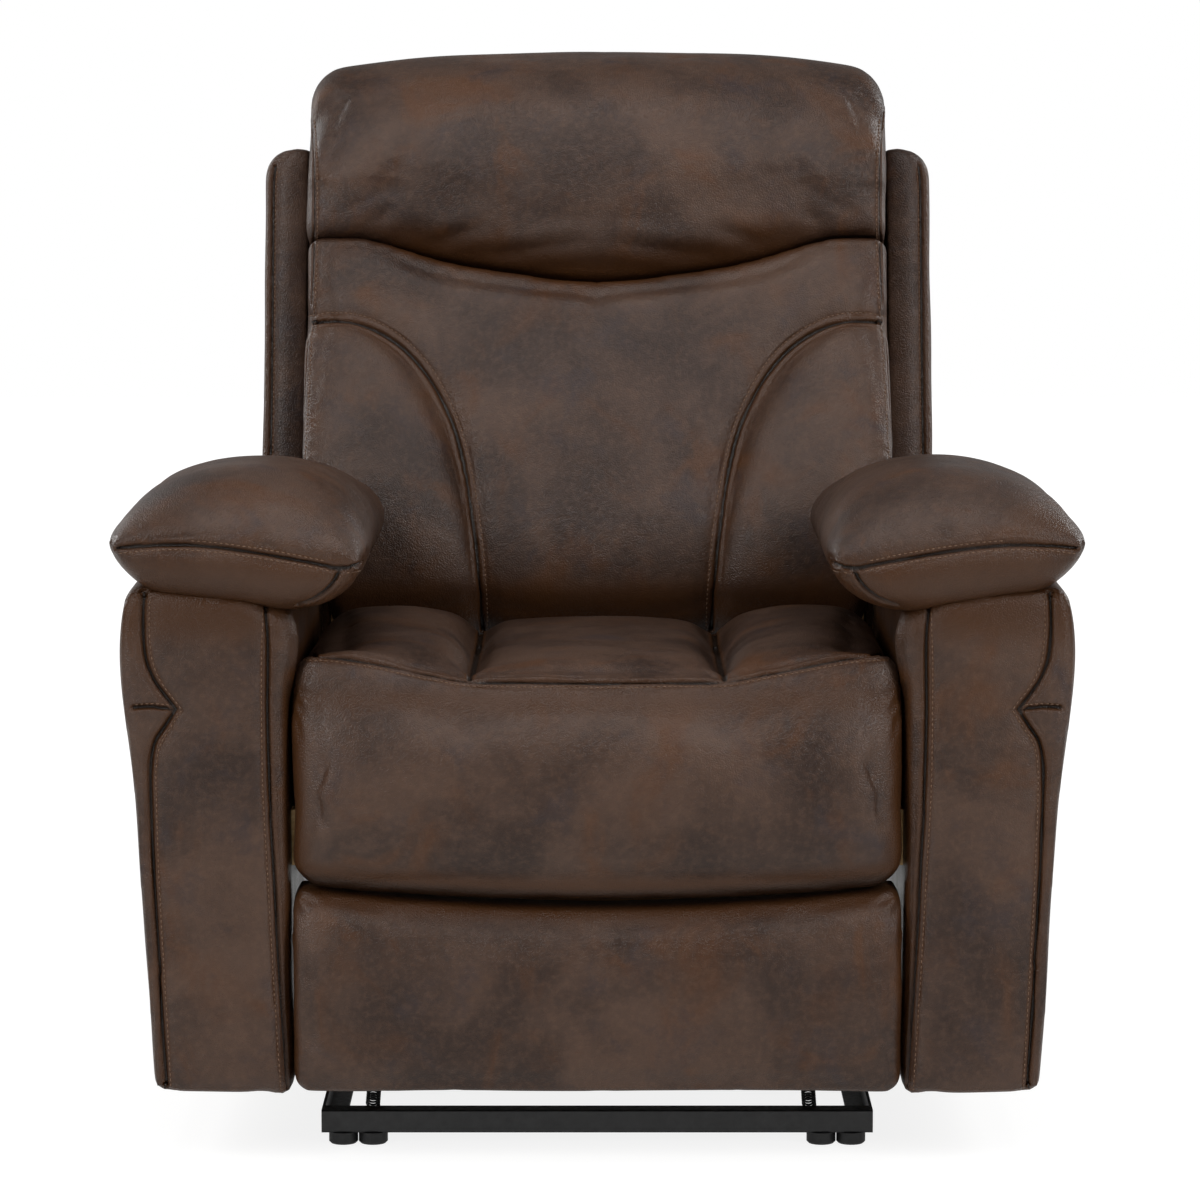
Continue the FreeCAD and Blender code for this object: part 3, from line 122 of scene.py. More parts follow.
def spline(points, each, closed=False):
    """Points along a Catmull-Rom curve through the given points, so many for each span."""
    p = np.asarray(points, float)
    n = len(p)
    spans = n if closed else n - 1
    out = []
    for i in range(spans):
        if closed:
            a, b, c, d = (p[(i + k) % n] for k in (-1, 0, 1, 2))
        else:
            a, b, c, d = (p[min(max(i + k, 0), n - 1)] for k in (-1, 0, 1, 2))
        for j in range(each):
            t = j / each
            out.append(0.5 * (2 * b + (c - a) * t + (2 * a - 5 * b + 4 * c - d) * t * t
                              + (3 * b - a - 3 * c + d) * t ** 3))
    if not closed:
        out.append(p[-1])
    return np.array(out)


def evenly(path, step):
    """The path with its points a step apart."""
    path = np.asarray(path, float)
    run = np.r_[0, np.cumsum(np.linalg.norm(np.diff(path, axis=0), axis=1))]
    n = max(2, int(round(run[-1] / step)) + 1)
    at = np.linspace(0, run[-1], n)
    return np.stack([np.interp(at, run, path[:, k]) for k in range(path.shape[1])], axis=1)


def bell(d, width):
    """One at no distance, and nearly nothing past twice the width."""
    return np.exp(-(d / width) ** 2)


def ease(t):
    """Goes smoothly from 0 to 1 as t does."""
    t = np.clip(t, 0, 1)
    return t * t * (3 - 2 * t)


def rounded(a, half, edge):
    """How far a rounded edge falls back at a, where the full width ends at half."""
    into = max(0.0, (a - (half - edge)) / edge)
    return edge * (1 - math.sqrt(max(0.0, 1 - into * into)))


def quarter(t):
    """The height of a quarter circle at t from its foot."""
    return math.sqrt(max(0.0, 1 - (1 - t) ** 2))


def stations(half, edge, start, ends, inner, count):
    """Places across a width, closer together where its ends round over."""
    turn = edge * (1 - np.cos(np.linspace(start, 1, ends) * math.pi / 2))
    return np.concatenate([[-half], -half + turn, np.linspace(-inner, inner, count), half - turn[::-1],
                           [half]])


# Meshes

PRESSURE = 4.0
CLOTH_FRAMES = 20
STITCH_PITCH = 0.0054
STITCH_LENGTH = 0.0038
STITCH_SINK = 0.00012
THREAD = 0.00062                # radius


def new_object(name, mesh):
    """A new object of the scene."""
    obj = bpy.data.objects.new(name, mesh)
    bpy.context.scene.collection.objects.link(obj)
    return obj


def mesh_from(name, verts, faces):
    """A new mesh."""
    mesh = bpy.data.meshes.new(name)
    mesh.from_pydata([tuple(v) for v in verts], [], faces)
    mesh.validate()
    mesh.update()
    return mesh


def ring_mesh(name, rings):
    """A closed body through rings of equal point counts, with its ends filled."""
    rings = np.asarray(rings, float)
    rows, cols = rings.shape[:2]
    faces = []
    for r in range(rows - 1):
        for c in range(cols):
            d = (c + 1) % cols
            faces.append((r * cols + c, r * cols + d, (r + 1) * cols + d, (r + 1) * cols + c))
    faces.append(tuple(range(cols))[::-1])
    faces.append(tuple((rows - 1) * cols + c for c in range(cols)))
    mesh = mesh_from(name, rings.reshape(-1, 3), faces)
    bm = bmesh.new()
    bm.from_mesh(mesh)
    bmesh.ops.triangulate(bm, faces=[f for f in bm.faces if len(f.verts) > 4])
    bmesh.ops.recalc_face_normals(bm, faces=bm.faces)
    bm.to_mesh(mesh)
    bm.free()
    return new_object(name, mesh)


def applied(obj):
    """Applies every modifier of a piece."""
    graph = bpy.context.evaluated_depsgraph_get()
    mesh = bpy.data.meshes.new_from_object(obj.evaluated_get(graph), preserve_all_data_layers=True,
                                           depsgraph=graph)
    obj.modifiers.clear()
    old = obj.data
    obj.data = mesh
    bpy.data.meshes.remove(old)


def remeshed(obj, size, rounds):
    """Even faces of one size over a piece, smoothed for some rounds."""
    mod = obj.modifiers.new("Remesh", "REMESH")
    mod.mode = "VOXEL"
    mod.voxel_size = size
    mod.use_smooth_shade = True
    mod = obj.modifiers.new("Smooth", "SMOOTH")
    mod.factor = 0.5
    mod.iterations = rounds
    applied(obj)


def subdivided(obj):
    """One round of subdivision over a piece."""
    mod = obj.modifiers.new("Subdivision", "SUBSURF")
    mod.levels = mod.render_levels = 1
    applied(obj)


def inflated(obj, cap, hold=None):
    """Puffs a closed piece by cloth under pressure, each point by less than the cap and as hold allows."""
    before, out = coords(obj), normals(obj)
    mod = obj.modifiers.new("Cloth", "CLOTH")
    cloth = mod.settings
    cloth.quality = 3
    cloth.mass = 0.3
    cloth.tension_stiffness = cloth.compression_stiffness = 15
    cloth.shear_stiffness = 5
    cloth.bending_stiffness = 0.5
    cloth.use_pressure = True
    cloth.uniform_pressure_force = PRESSURE
    cloth.effector_weights.gravity = 0
    mod.collision_settings.use_collision = False
    mod.point_cache.frame_start = 1
    mod.point_cache.frame_end = CLOTH_FRAMES
    scene = bpy.context.scene
    for i in range(1, CLOTH_FRAMES + 1):
        scene.frame_set(i)
    applied(obj)
    scene.frame_set(1)
    move = coords(obj) - before
    inward = np.minimum(np.sum(move * out, axis=1), 0)
    move -= out * (0.9 * inward)[:, None]
    far = np.linalg.norm(move, axis=1)
    move *= (cap * np.tanh(far / cap) / np.maximum(far, 1e-9))[:, None]
    after = before + move
    set_coords(obj, hold(before, after) if hold else after)


def puffed(obj, size, rounds, cap, hold=None):
    """Even faces over a piece, which is then puffed and divided once more."""
    remeshed(obj, size, rounds)
    inflated(obj, cap, hold)
    subdivided(obj)


def coords(obj):
    """A piece's points."""
    out = np.empty(len(obj.data.vertices) * 3, dtype=np.float32)
    obj.data.vertices.foreach_get("co", out)
    return out.reshape(-1, 3).astype(float)


def set_coords(obj, p):
    """Moves a piece's points."""
    obj.data.vertices.foreach_set("co", np.asarray(p, np.float32).ravel())
    obj.data.update()


def normals(obj):
    """Directions out of a piece's surface at its points."""
    out = np.empty(len(obj.data.vertices) * 3, dtype=np.float32)
    obj.data.vertex_normals.foreach_get("vector", out)
    return out.reshape(-1, 3).astype(float)


def surface(obj):
    """Search tree of a piece's faces."""
    bm = bmesh.new()
    bm.from_mesh(obj.data)
    tree = BVHTree.FromBMesh(bm)
    bm.free()
    return tree


def seen(pixels, each, side):
    """Pixels along a smooth line, for the left side or mirrored for the right."""
    return [(x if side < 0 else MIRROR - x, y) for x, y in spline(pixels, each)]


def landed(casts):
    """Where rays met the surface; those that missed it are left out."""
    return np.array([tuple(cast[0]) for cast in casts if cast[0] is not None])


def onto(tree, pixels):
    """Points of the surface that the photograph shows at these pixels."""
    return landed(tree.ray_cast(EYE, sight(px, py)) for px, py in pixels)


def marked(tree, pixels, each, side):
    """A smooth line on the surface through pixels, on the left side or mirrored to the right."""
    return onto(tree, seen(pixels, each, side))


def near_path(points, path, reach):
    """Indices of the points within reach of a path, their distances and places along it from 0 to 1."""
    path = evenly(path, 0.0012)
    steps = np.array([(i, j, k) for i in (-1, 0, 1) for j in (-1, 0, 1) for k in (-1, 0, 1)])
    cells = (np.floor(path / reach).astype(int)[:, None, :] + steps[None]).reshape(-1, 3)
    key = np.array([1, 4096, 4096 * 4096])
    close = np.nonzero(np.isin(np.floor(points / reach).astype(int) @ key, np.unique(cells @ key)))[0]
    kd = KDTree(len(path))
    for k, p in enumerate(path):
        kd.insert(p, k)
    kd.balance()
    found = [(i,) + kd.find(points[i])[1:] for i in close]
    found = [(i, d, k / (len(path) - 1)) for i, k, d in found if d <= reach]
    index, far, along = (np.array(c) for c in zip(*found)) if found else (np.zeros(0),) * 3
    return index.astype(int), far, along


def refined(obj, paths, reach, cuts=1):
    """Smaller faces near the paths."""
    p = coords(obj)
    close = set()
    for path in paths:
        close.update(near_path(p, path, reach)[0].tolist())
    bm = bmesh.new()
    bm.from_mesh(obj.data)
    bm.verts.ensure_lookup_table()
    edges = [e for e in bm.edges if e.verts[0].index in close and e.verts[1].index in close]
    bmesh.ops.subdivide_edges(bm, edges=edges, cuts=cuts, use_grid_fill=True, smooth=0.0)
    bmesh.ops.triangulate(bm, faces=[f for f in bm.faces if len(f.verts) > 4])
    bm.to_mesh(obj.data)
    bm.free()
    for f in obj.data.polygons:
        f.use_smooth = True


def add_seam_dark_and_painted_shade(obj, amount, pick=slice(None)):
    """Marks a piece for the leather's darkening, which goes from 0, untouched, to 1, the bottom of a seam:
    dark seams and stitch rows, and painted shade in creases, folds and gaps.
    """
    mesh = obj.data
    layer = mesh.attributes.get("seam_dark_and_painted_shade") or mesh.attributes.new("seam_dark_and_painted_shade", "FLOAT", "POINT")
    seam_dark_and_painted_shade = np.zeros(len(mesh.vertices), np.float32)
    layer.data.foreach_get("value", seam_dark_and_painted_shade)
    seam_dark_and_painted_shade[pick] = np.maximum(seam_dark_and_painted_shade[pick], amount)
    layer.data.foreach_set("value", seam_dark_and_painted_shade)


def carve(obj, path, depth, width, lip=0.0, tint=1.0, ends=0.0, spread=2.4):
    """Presses a seam into the surface, raises its lips and darkens the leather along it: a dark seam line
    where narrow, and painted shade on wide falls and wrinkles.
    """
    p = coords(obj)
    pick, d, along = near_path(p, path, width * max(5.0 if lip else 2.6, 2.4 * spread))
    if not len(pick):
        return
    fade = np.ones_like(along)
    if ends:
        fade = np.clip(np.minimum(along, 1 - along) / ends, 0, 1)
    n = normals(obj)[pick]
    push = -depth * bell(d, width) + lip * bell(d - 2.3 * width, 1.1 * width)
    p[pick] += n * (push * fade)[:, None]
    set_coords(obj, p)
    add_seam_dark_and_painted_shade(obj, tint * bell(d, spread * width) * fade, pick)


def seam(obj, path, pillow, reach, tint=0.45, depth=0.0034, width=0.0020):
    """A sewn seam: both panels roll down to it, with a sharp fold between them; the falls get painted shade
    and the fold a dark line.
    """
    if pillow:
        at, out = on_surface(surface(obj), evenly(path, 0.003))
        # Painted shade darkens the panels where they fall into the seam.
        carve(obj, path, pillow, reach, tint=tint, spread=0.8)
        path = on_surface(surface(obj), at - out * pillow)[0]
    carve(obj, path, depth, width, lip=0.0005, spread=1.45)


def stitched(obj, rows):
    """Draws the leather in a little along rows of stitches."""
    tree = surface(obj)
    for row in rows:
        if len(row) > 4:
            carve(obj, on_surface(tree, row)[0], 0.0006, 0.0017, tint=0.60, spread=1.2)


def gathers(obj, path, height, pitch, reach, seed):
    """Small puckers that run across a seam and fade away from it."""
    p = coords(obj)
    pick, d, along = near_path(p, path, 3.0 * reach)
    run = along * np.sum(np.linalg.norm(np.diff(path, axis=0), axis=1))
    n = normals(obj)[pick]
    wave = np.array([noise.noise(Vector((r / pitch, seed * 11.7, k * 3.0)))
                     for r, k in zip(run, d / reach)])
    p[pick] += n * (height * wave * bell(d - 0.6 * reach, 0.9 * reach))[:, None]
    set_coords(obj, p)


def wrinkles(tree, *lines):
    """Short lines on the surface, on both sides."""
    return [marked(tree, pixels, 10, side) for side in (-1, 1) for pixels in lines]


def creases(obj, lines, depth, width):
    """Soft wrinkles pressed along short lines, fading at their ends, with painted shade in them."""
    for line in lines:
        if len(line) > 4:
            carve(obj, line, depth, width, lip=0.5 * depth, tint=0.15, ends=0.4)


def on_surface(tree, path):
    """The path's points moved to the surface, with the normals there."""
    pts, nrm = [], []
    for p in path:
        near, n, _, _ = tree.find_nearest(Vector(p))
        pts.append(near)
        nrm.append(n)
    return np.array([tuple(p) for p in pts]), np.array([tuple(n) for n in nrm])


def stitches(name, tree, paths):
    """Thread showing along each path: one short rounded bar for each stitch."""
    verts, faces = [], []
    sides = 6
    profile = ((-0.5, 0.25, -0.9), (-0.36, 0.85, 0.0), (0.0, 1.05, 0.45), (0.36, 0.85, 0.0),
               (0.5, 0.25, -0.9))
    for path in paths:
        pts, nrm = on_surface(tree, evenly(path, STITCH_PITCH))
        for a, b, n in zip(pts, pts[1:], nrm):
            gap = np.linalg.norm(b - a)
            if gap < 1e-6:
                continue
            t = (b - a) / gap
            s = np.cross(t, n)
            s /= max(np.linalg.norm(s), 1e-9)
            n = np.cross(s, t)
            base = len(verts)
            for along, thick, lift in profile:
                c = (a + b) / 2 + t * (along * STITCH_LENGTH) + n * (THREAD * lift - STITCH_SINK)
                for k in range(sides):
                    g = 2 * math.pi * k / sides
                    verts.append(c + (s * math.cos(g) + n * math.sin(g)) * THREAD * thick)
            last = base + (len(profile) - 1) * sides
            for row in range(base, last, sides):
                for k in range(sides):
                    q = (k + 1) % sides
                    faces.append((row + k, row + q, row + sides + q, row + sides + k))
            faces.append(tuple(base + k for k in range(sides))[::-1])
            faces.append(tuple(last + k for k in range(sides)))
    obj = new_object(name, mesh_from(name, verts, faces))
    for p in obj.data.polygons:
        p.use_smooth = True
    obj.data.materials.append(MATERIALS["thread"])
    return obj


def ripple(obj, amount, scale, seed, where=1.0, stretch=(1, 1, 1)):
    """Soft unevenness along the normals from seeded noise."""
    p = coords(obj)
    shift = Vector((seed * 7.3, seed * 3.1, seed * 5.7))
    push = np.array([noise.noise(Vector(q) + shift) for q in p * scale * np.array(stretch)])
    set_coords(obj, p + normals(obj) * (push * where * amount)[:, None])


# Materials

def colour(hex_code):
    """Linear colour of a written sRGB one."""
    rgb = [int(hex_code[i:i + 2], 16) / 255 for i in (0, 2, 4)]
    return tuple(c / 12.92 if c <= 0.04045 else ((c + 0.055) / 1.055) ** 2.4 for c in rgb) + (1.0,)


class Nodes:
    """Short hand for the nodes of a material or a world."""

    def __init__(self, name, group="materials"):
        self.owner = getattr(bpy.data, group).new(name)
        self.owner.use_nodes = True
        self.tree = self.owner.node_tree
        self.shader = self.tree.nodes.get("Principled BSDF")
        self.place = self.node("ShaderNodeTexCoord").outputs["Object"]

    def node(self, kind):
        return self.tree.nodes.new(kind)

    def put(self, socket, value):
        if isinstance(value, bpy.types.NodeSocket):
            self.tree.links.new(value, socket)
        else:
            socket.default_value = value

    def made(self, kind, output, inputs, **settings):
        """One output of a new node with these settings and inputs."""
        n = self.node(kind)
        for key, value in settings.items():
            setattr(n, key, value)
        for key, value in inputs.items():
            self.put(n.inputs[key], value)
        return n.outputs[output]

    def stretched(self, scale):
        return self.made("ShaderNodeMapping", "Vector", {"Vector": self.place, "Scale": scale})

    def noise(self, scale, detail=4.0, roughness=0.55, distortion=0.0, place=None):
        return self.made("ShaderNodeTexNoise", "Fac", {
            "Scale": scale, "Detail": detail, "Roughness": roughness, "Distortion": distortion,
            "Vector": place or self.place})

    def cells(self, scale, feature="F1"):
        inputs = {"Scale": scale, "Vector": self.place}
        return self.made("ShaderNodeTexVoronoi", "Distance", inputs, feature=feature)

    def ramp(self, value, low, high, start=0.0, end=1.0):
        inputs = {"Value": value, "From Min": low, "From Max": high, "To Min": start, "To Max": end}
        return self.made("ShaderNodeMapRange", "Result", inputs, interpolation_type="SMOOTHSTEP")

    def mix(self, factor, a, b):
        return self.made("ShaderNodeMix", 2, {"Factor": factor, 6: a, 7: b}, data_type="RGBA")

    def blend(self, value, low, high, first, second):
        """Goes from one written colour to another as the value goes from low to high."""
        return self.mix(self.ramp(value, low, high), colour(first), colour(second))

    def over(self, base, value, low, high, share, code):
        """Lays a written colour over the base, up to a share, as the value goes from low to high."""
        return self.mix(self.ramp(value, low, high, 0.0, share), base, colour(code))

    def math(self, operation, a, b=0.0):
        return self.made("ShaderNodeMath", 0, {0: a, 1: b}, operation=operation)

    def bump(self, height, strength, distance, base=None):
        inputs = {"Strength": strength, "Distance": distance, "Height": height}
        if base is not None:
            inputs["Normal"] = base
        return self.made("ShaderNodeBump", "Normal", inputs)

    def set(self, **values):
        names = {"base": "Base Color", "rough": "Roughness", "metal": "Metallic", "normal": "Normal",
                 "specular": "Specular IOR Level"}
        for key, value in values.items():
            self.put(self.shader.inputs[names[key]], value)
        return self.owner


def leather(name):
    """Brown bonded leather: mottled by patches, a fine pebbled grain, dark seams and painted shade."""
    m = Nodes(name)
    base = m.blend(m.noise(8.0, 5.0, 0.6, 0.4), 0.34, 0.68, "2a1d17", "453329")
    patches = m.noise(13.0, 4.0, 0.6, 0.8, m.stretched((1.0, 1.3, 0.8)))
    base = m.over(base, patches, 0.50, 0.74, 0.75, "472a14")
    base = m.over(base, m.noise(17.0, 5.0, 0.62, 0.5), 0.52, 0.74, 0.60, "2b2426")
    base = m.over(base, m.noise(150.0, 4.0, 0.65), 0.40, 0.75, 0.30, "5a4335")
    seam_dark_and_painted_shade = m.made("ShaderNodeAttribute", "Fac", {}, attribute_name="seam_dark_and_painted_shade")
    # Painted shade: the marked layer turns the leather amber in creases, under overhangs and beside seams,
    # and near black at seam bottoms and in the deepest painted shade.
    base = m.over(base, seam_dark_and_painted_shade, 0.02, 0.55, 0.85, "3b220e")
    base = m.over(base, seam_dark_and_painted_shade, 0.55, 0.98, 0.94, "0d0704")
    grain = m.cells(560.0)
    fine = m.noise(1300.0, 3.0, 0.6)
    pits = m.ramp(grain, 0.05, 0.75)
    height = m.math("ADD", m.math("MULTIPLY", pits, 0.7), m.math("MULTIPLY", fine, 0.5))
    normal = m.bump(height, 0.55, 0.0008)
    folds = m.noise(60.0, 5.0, 0.62, 0.6)
    normal = m.bump(folds, 0.16, 0.005, normal)
    rough = m.ramp(m.noise(22.0, 5.0, 0.6), 0.3, 0.75, 0.29, 0.40)
    return m.set(base=base, rough=rough, normal=normal, specular=0.24)


def thread(name):
    m = Nodes(name)
    twist = m.noise(2600.0, 2.0, 0.6)
    base = m.blend(twist, 0.35, 0.7, "3a2718", "755740")
    return m.set(base=base, rough=0.6, normal=m.bump(twist, 0.4, 0.0003))


def painted_steel(name):
    """Black powder coat with its fine orange peel."""
    m = Nodes(name)
    peel = m.noise(900.0, 3.0, 0.6)
    base = m.blend(m.noise(60.0, 4.0, 0.6), 0.3, 0.8, "1d1d1e", "2b2b2c")
    return m.set(base=base, rough=m.ramp(m.noise(220.0, 3.0), 0.3, 0.8, 0.4, 0.55),
                 normal=m.bump(peel, 0.25, 0.0004), specular=0.5)


def zinc(name):
    m = Nodes(name)
    base = m.blend(m.noise(300.0, 3.0, 0.6), 0.3, 0.7, "8d8f90", "b2b4b3")
    return m.set(base=base, metal=1.0, rough=m.ramp(m.noise(180.0, 4.0), 0.3, 0.7, 0.32, 0.5),
                 normal=m.bump(m.noise(1400.0), 0.1, 0.0002))


def spring_wire(name):
    m = Nodes(name)
    base = m.blend(m.noise(500.0, 3.0, 0.6), 0.3, 0.7, "1a1a1b", "353536")
    return m.set(base=base, metal=0.6, rough=m.ramp(m.noise(700.0), 0.3, 0.7, 0.3, 0.45))


def moulded_plastic(name):
    m = Nodes(name)
    skin = m.cells(1600.0)
    base = m.blend(m.noise(90.0, 4.0), 0.3, 0.8, "151516", "202021")
    return m.set(base=base, rough=m.ramp(m.noise(320.0), 0.3, 0.7, 0.42, 0.56),
                 normal=m.bump(skin, 0.18, 0.0003))


def plywood(name):
    m = Nodes(name)
    rings = m.noise(9.0, 6.0, 0.6, 1.2, m.stretched((1.0, 6.0, 14.0)))
    fibre = m.noise(120.0, 4.0, 0.7, 0.3, m.stretched((1.0, 5.0, 12.0)))
    base = m.blend(rings, 0.3, 0.7, "c9a877", "a57f4f")
    base = m.over(base, fibre, 0.45, 0.75, 0.35, "7f5e38")
    return m.set(base=base, rough=m.ramp(fibre, 0.3, 0.7, 0.6, 0.8), normal=m.bump(fibre, 0.3, 0.0006))


def strap(name):
    """Elastic webbing: ribs along the strap and a woven cross pattern."""
    m = Nodes(name)
    ribs = m.made("ShaderNodeTexWave", "Fac", {"Scale": 190.0, "Distortion": 0.4, "Vector": m.place})
    cross = m.cells(900.0)
    base = m.blend(ribs, 0.2, 0.8, "26221f", "4a423a")
    height = m.math("ADD", ribs, m.math("MULTIPLY", cross, 0.6))
    return m.set(base=base, rough=0.8, normal=m.bump(height, 0.5, 0.0008))


def lining(name):
    """Black spunbonded dust cover."""
    m = Nodes(name)
    web = m.cells(620.0, "SMOOTH_F1")
    base = m.blend(m.noise(420.0, 4.0, 0.7), 0.3, 0.7, "131314", "242325")
    return m.set(base=base, rough=0.85, normal=m.bump(web, 0.4, 0.0005))


def rubber_cable(name):
    m = Nodes(name)
    return m.set(base=m.blend(m.noise(300.0), 0.3, 0.7, "121213", "1d1d1e"),
                 rough=m.ramp(m.noise(500.0), 0.3, 0.7, 0.45, 0.6),
                 normal=m.bump(m.noise(1200.0), 0.15, 0.0002))


MATERIALS = {
    "leather": leather("Leather"),
    "thread": thread("Thread"),
    "black_steel": painted_steel("BlackSteel"),
    "zinc": zinc("Zinc"),
    "spring_steel": spring_wire("SpringSteel"),
    "black_plastic": moulded_plastic("BlackPlastic"),
    "timber": plywood("Timber"),
    "webbing": strap("Webbing"),
    "lining": lining("Lining"),
    "cable": rubber_cable("Cable"),
}


def finished(obj, body, node):
    """Gives a leather piece its material and smooth shading, hides the CAD node that it stands for and
    attaches it to its body.
    """
    obj.data.materials.clear()
    obj.data.materials.append(MATERIALS["leather"])
    for p in obj.data.polygons:
        p.use_smooth = True
    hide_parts(node)
    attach(obj, body)


def sewn(name, tree, paths, body):
    """Stitches that ride with their piece."""
    obj = stitches(name, tree, [path for path in paths if len(path) > 4])
    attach(obj, body)


def sewn_up(obj, rows, name, body, node):
    stitched(obj, rows)
    finished(obj, body, node)
    sewn(name, surface(obj), rows, body)


# Seat cushion: a profile in depth and height for each place across the width

SEAT_HALF = 0.2958
SEAT_EDGE = 0.030
CHANNEL_X = 0.1235
SEAT_REAR = 0.0862


def roll_foot(x):
    """Lowest level of the roll in front of the seat, which sags in the middle."""
    return 0.2589 + 0.0177 * (x / SEAT_HALF) ** 2


def seat_loop(x):
    """Closed (y, z) outline of the seat cushion at x."""
    half = SEAT_HALF
    a = min(abs(x), half)
    tuck = rounded(a, half, SEAT_EDGE)
    gap = abs(a - CHANNEL_X)
    channel = 0.030 * math.exp(-(gap / 0.013) ** 1.5)
    bolster = float(smooth([0.0, 0.12, 0.16, 0.21, 0.26, 0.30], [0.0, 0.0, 0.013, 0.020, 0.020, 0.014], a))
    crown = 0.007 * (1 - (a / 0.125) ** 2) if a < 0.125 else 0.0
    seam_z = 0.4765 + float(smooth([0.0, 0.12, 0.18, 0.24, 0.29, 0.30],
                                   [0.0, 0.0, 0.0075, 0.018, 0.0245, 0.025], a))
    bottom = roll_foot(a)
    front = -0.4462 + 0.004 * (a / half) ** 2 + 0.75 * tuck
    shallow = 0.45 * channel

    def top(z, more=1.0, drawn=1.0):
        return z + bolster * more + crown - channel * drawn - tuck

    points = [
        (0.0855, 0.349), (0.0860, top(0.420, 1.0, 0.2)), (0.078, top(0.452, 1.0, 0.25)),
        (0.040, top(0.466, 1.0, 0.45)), (-0.050, top(0.4705)), (-0.160, top(0.4725)),
        (-0.260, top(0.4735, 0.95)), (-0.335, top(0.4745, 0.8)),
        (-0.383, 0.3 * bolster + 0.4755 + 0.5 * crown + 0.5 * (seam_z - 0.4765) - shallow * 0.9 - tuck),
        (-0.4085 + 0.6 * tuck, seam_z + 0.0015 - 0.10 * channel - tuck),
        (-0.4185 + 0.7 * tuck, seam_z - 0.0075 - 0.05 * channel - 0.8 * tuck),
        (front + 0.0150, 0.449 + 0.4 * (seam_z - 0.4765)), (front + 0.0042, 0.415), (front, 0.372),
        (front + 0.0006, 0.330), (front + 0.0062, bottom + 0.026),
        (front + 0.0150, bottom + 0.0065 + 0.4 * tuck), (-0.418, bottom + 0.0008 + tuck),
        (-0.408, bottom + tuck), (-0.4010, bottom + 0.005 + tuck), (-0.4004, 0.330), (-0.392, 0.349),
        (-0.200, 0.349), (0.000, 0.349),
    ]
    return spline(points, 8, closed=True)


def swept(name, xs, outline, place=lambda rings: rings):
    """A closed body through the outline at each place across the width."""
    loops = [(x, outline(x)) for x in xs]
    return ring_mesh(name, place(np.array([np.column_stack([np.full(len(o), x), o]) for x, o in loops])))


def seat_cushion():
    """Three channelled parts and the roll in front of them, in one piece."""
    half = SEAT_HALF
    obj = swept("SeatCushion", stations(half, SEAT_EDGE, 0.12, 14, half - 0.034, 170), seat_loop)

    def between(before, after):
        after[:, 0] = np.clip(after[:, 0], -0.2960, 0.2960)
        after[:, 1] = np.minimum(after[:, 1], np.maximum(before[:, 1], SEAT_REAR))
        flat = np.where(before[:, 1] > -0.395, before[:, 2], roll_foot(after[:, 0]))
        after[:, 2] = np.where(before[:, 2] < 0.36, np.maximum(after[:, 2], flat), after[:, 2])
        return after

    puffed(obj, 0.0066, 1, 0.012, between)
    p = coords(obj)
    ripple(obj, 0.0022, 9.0, 3, ease((p[:, 2] - roll_foot(p[:, 0]) - 0.006) / 0.03), (1, 1, 1.6))
    tree = surface(obj)
    half_px = [(291, 654), (330, 655), (380, 663), (430, 673), (468, 679.5), (530, 681), (597, 681.5)]

    def across(lower):
        pixels = [(x, y + lower) for x, y in half_px]
        return np.concatenate([marked(tree, pixels, 24, -1), marked(tree, pixels, 24, 1)[::-1]])

    whole, row = across(0), across(5.5)
    channels = []
    for side in (-1, 1):
        channels.append(landed(tree.ray_cast(Vector((side * CHANNEL_X, y, 0.6)), Vector((0, 0, -1)))
                               for y in np.linspace(0.07, -0.405, 60)))
    refined(obj, [whole], 0.011, cuts=2)
    refined(obj, channels, 0.008, cuts=1)
    seam(obj, whole, 0.0018, 0.010, depth=0.0036, width=0.0022)
    for line in channels:
        carve(obj, line, 0.0030, 0.0022)
    creases(obj, wrinkles(tree, [(292, 694), (300, 706), (306, 726)], [(291, 700), (297, 720), (300, 745)],
                          [(294, 690), (310, 696), (326, 700)]), 0.0016, 0.0035)
    gathers(obj, whole, 0.0012, 0.035, 0.010, 2.0)
    p = coords(obj)
    # Painted shade at the roll's ends, beside the arms.
    add_seam_dark_and_painted_shade(obj, 0.60 * ease((np.abs(p[:, 0]) - 0.268) / 0.026) * ease((0.5 - p[:, 2]) / 0.05))
    # Painted shade at the foot of the roll, over the footrest.
    add_seam_dark_and_painted_shade(obj, np.where(p[:, 1] < -0.3,
                           0.85 * ease((0.300 + 0.0175 * (p[:, 0] / half) ** 2 - p[:, 2]) / 0.036), 0))
    # A darker amber band on the roll just below the front seam.
    add_seam_dark_and_painted_shade(obj, np.where(p[:, 1] < -0.40, 0.38 * bell(p[:, 2] - 0.458, 0.016), 0))
    sewn_up(obj, [row], "SeatStitches", "chair", "seat_cushion")


# Footrest pad

PAD_HALF = 0.2962
PAD_EDGE = 0.016
PAD_REAR = -0.3803


def pad_crest(x):
    """Highest level of the footrest pad, which follows the roll above it."""
    return 0.2580 + 0.0178 * (x / PAD_HALF) ** 2


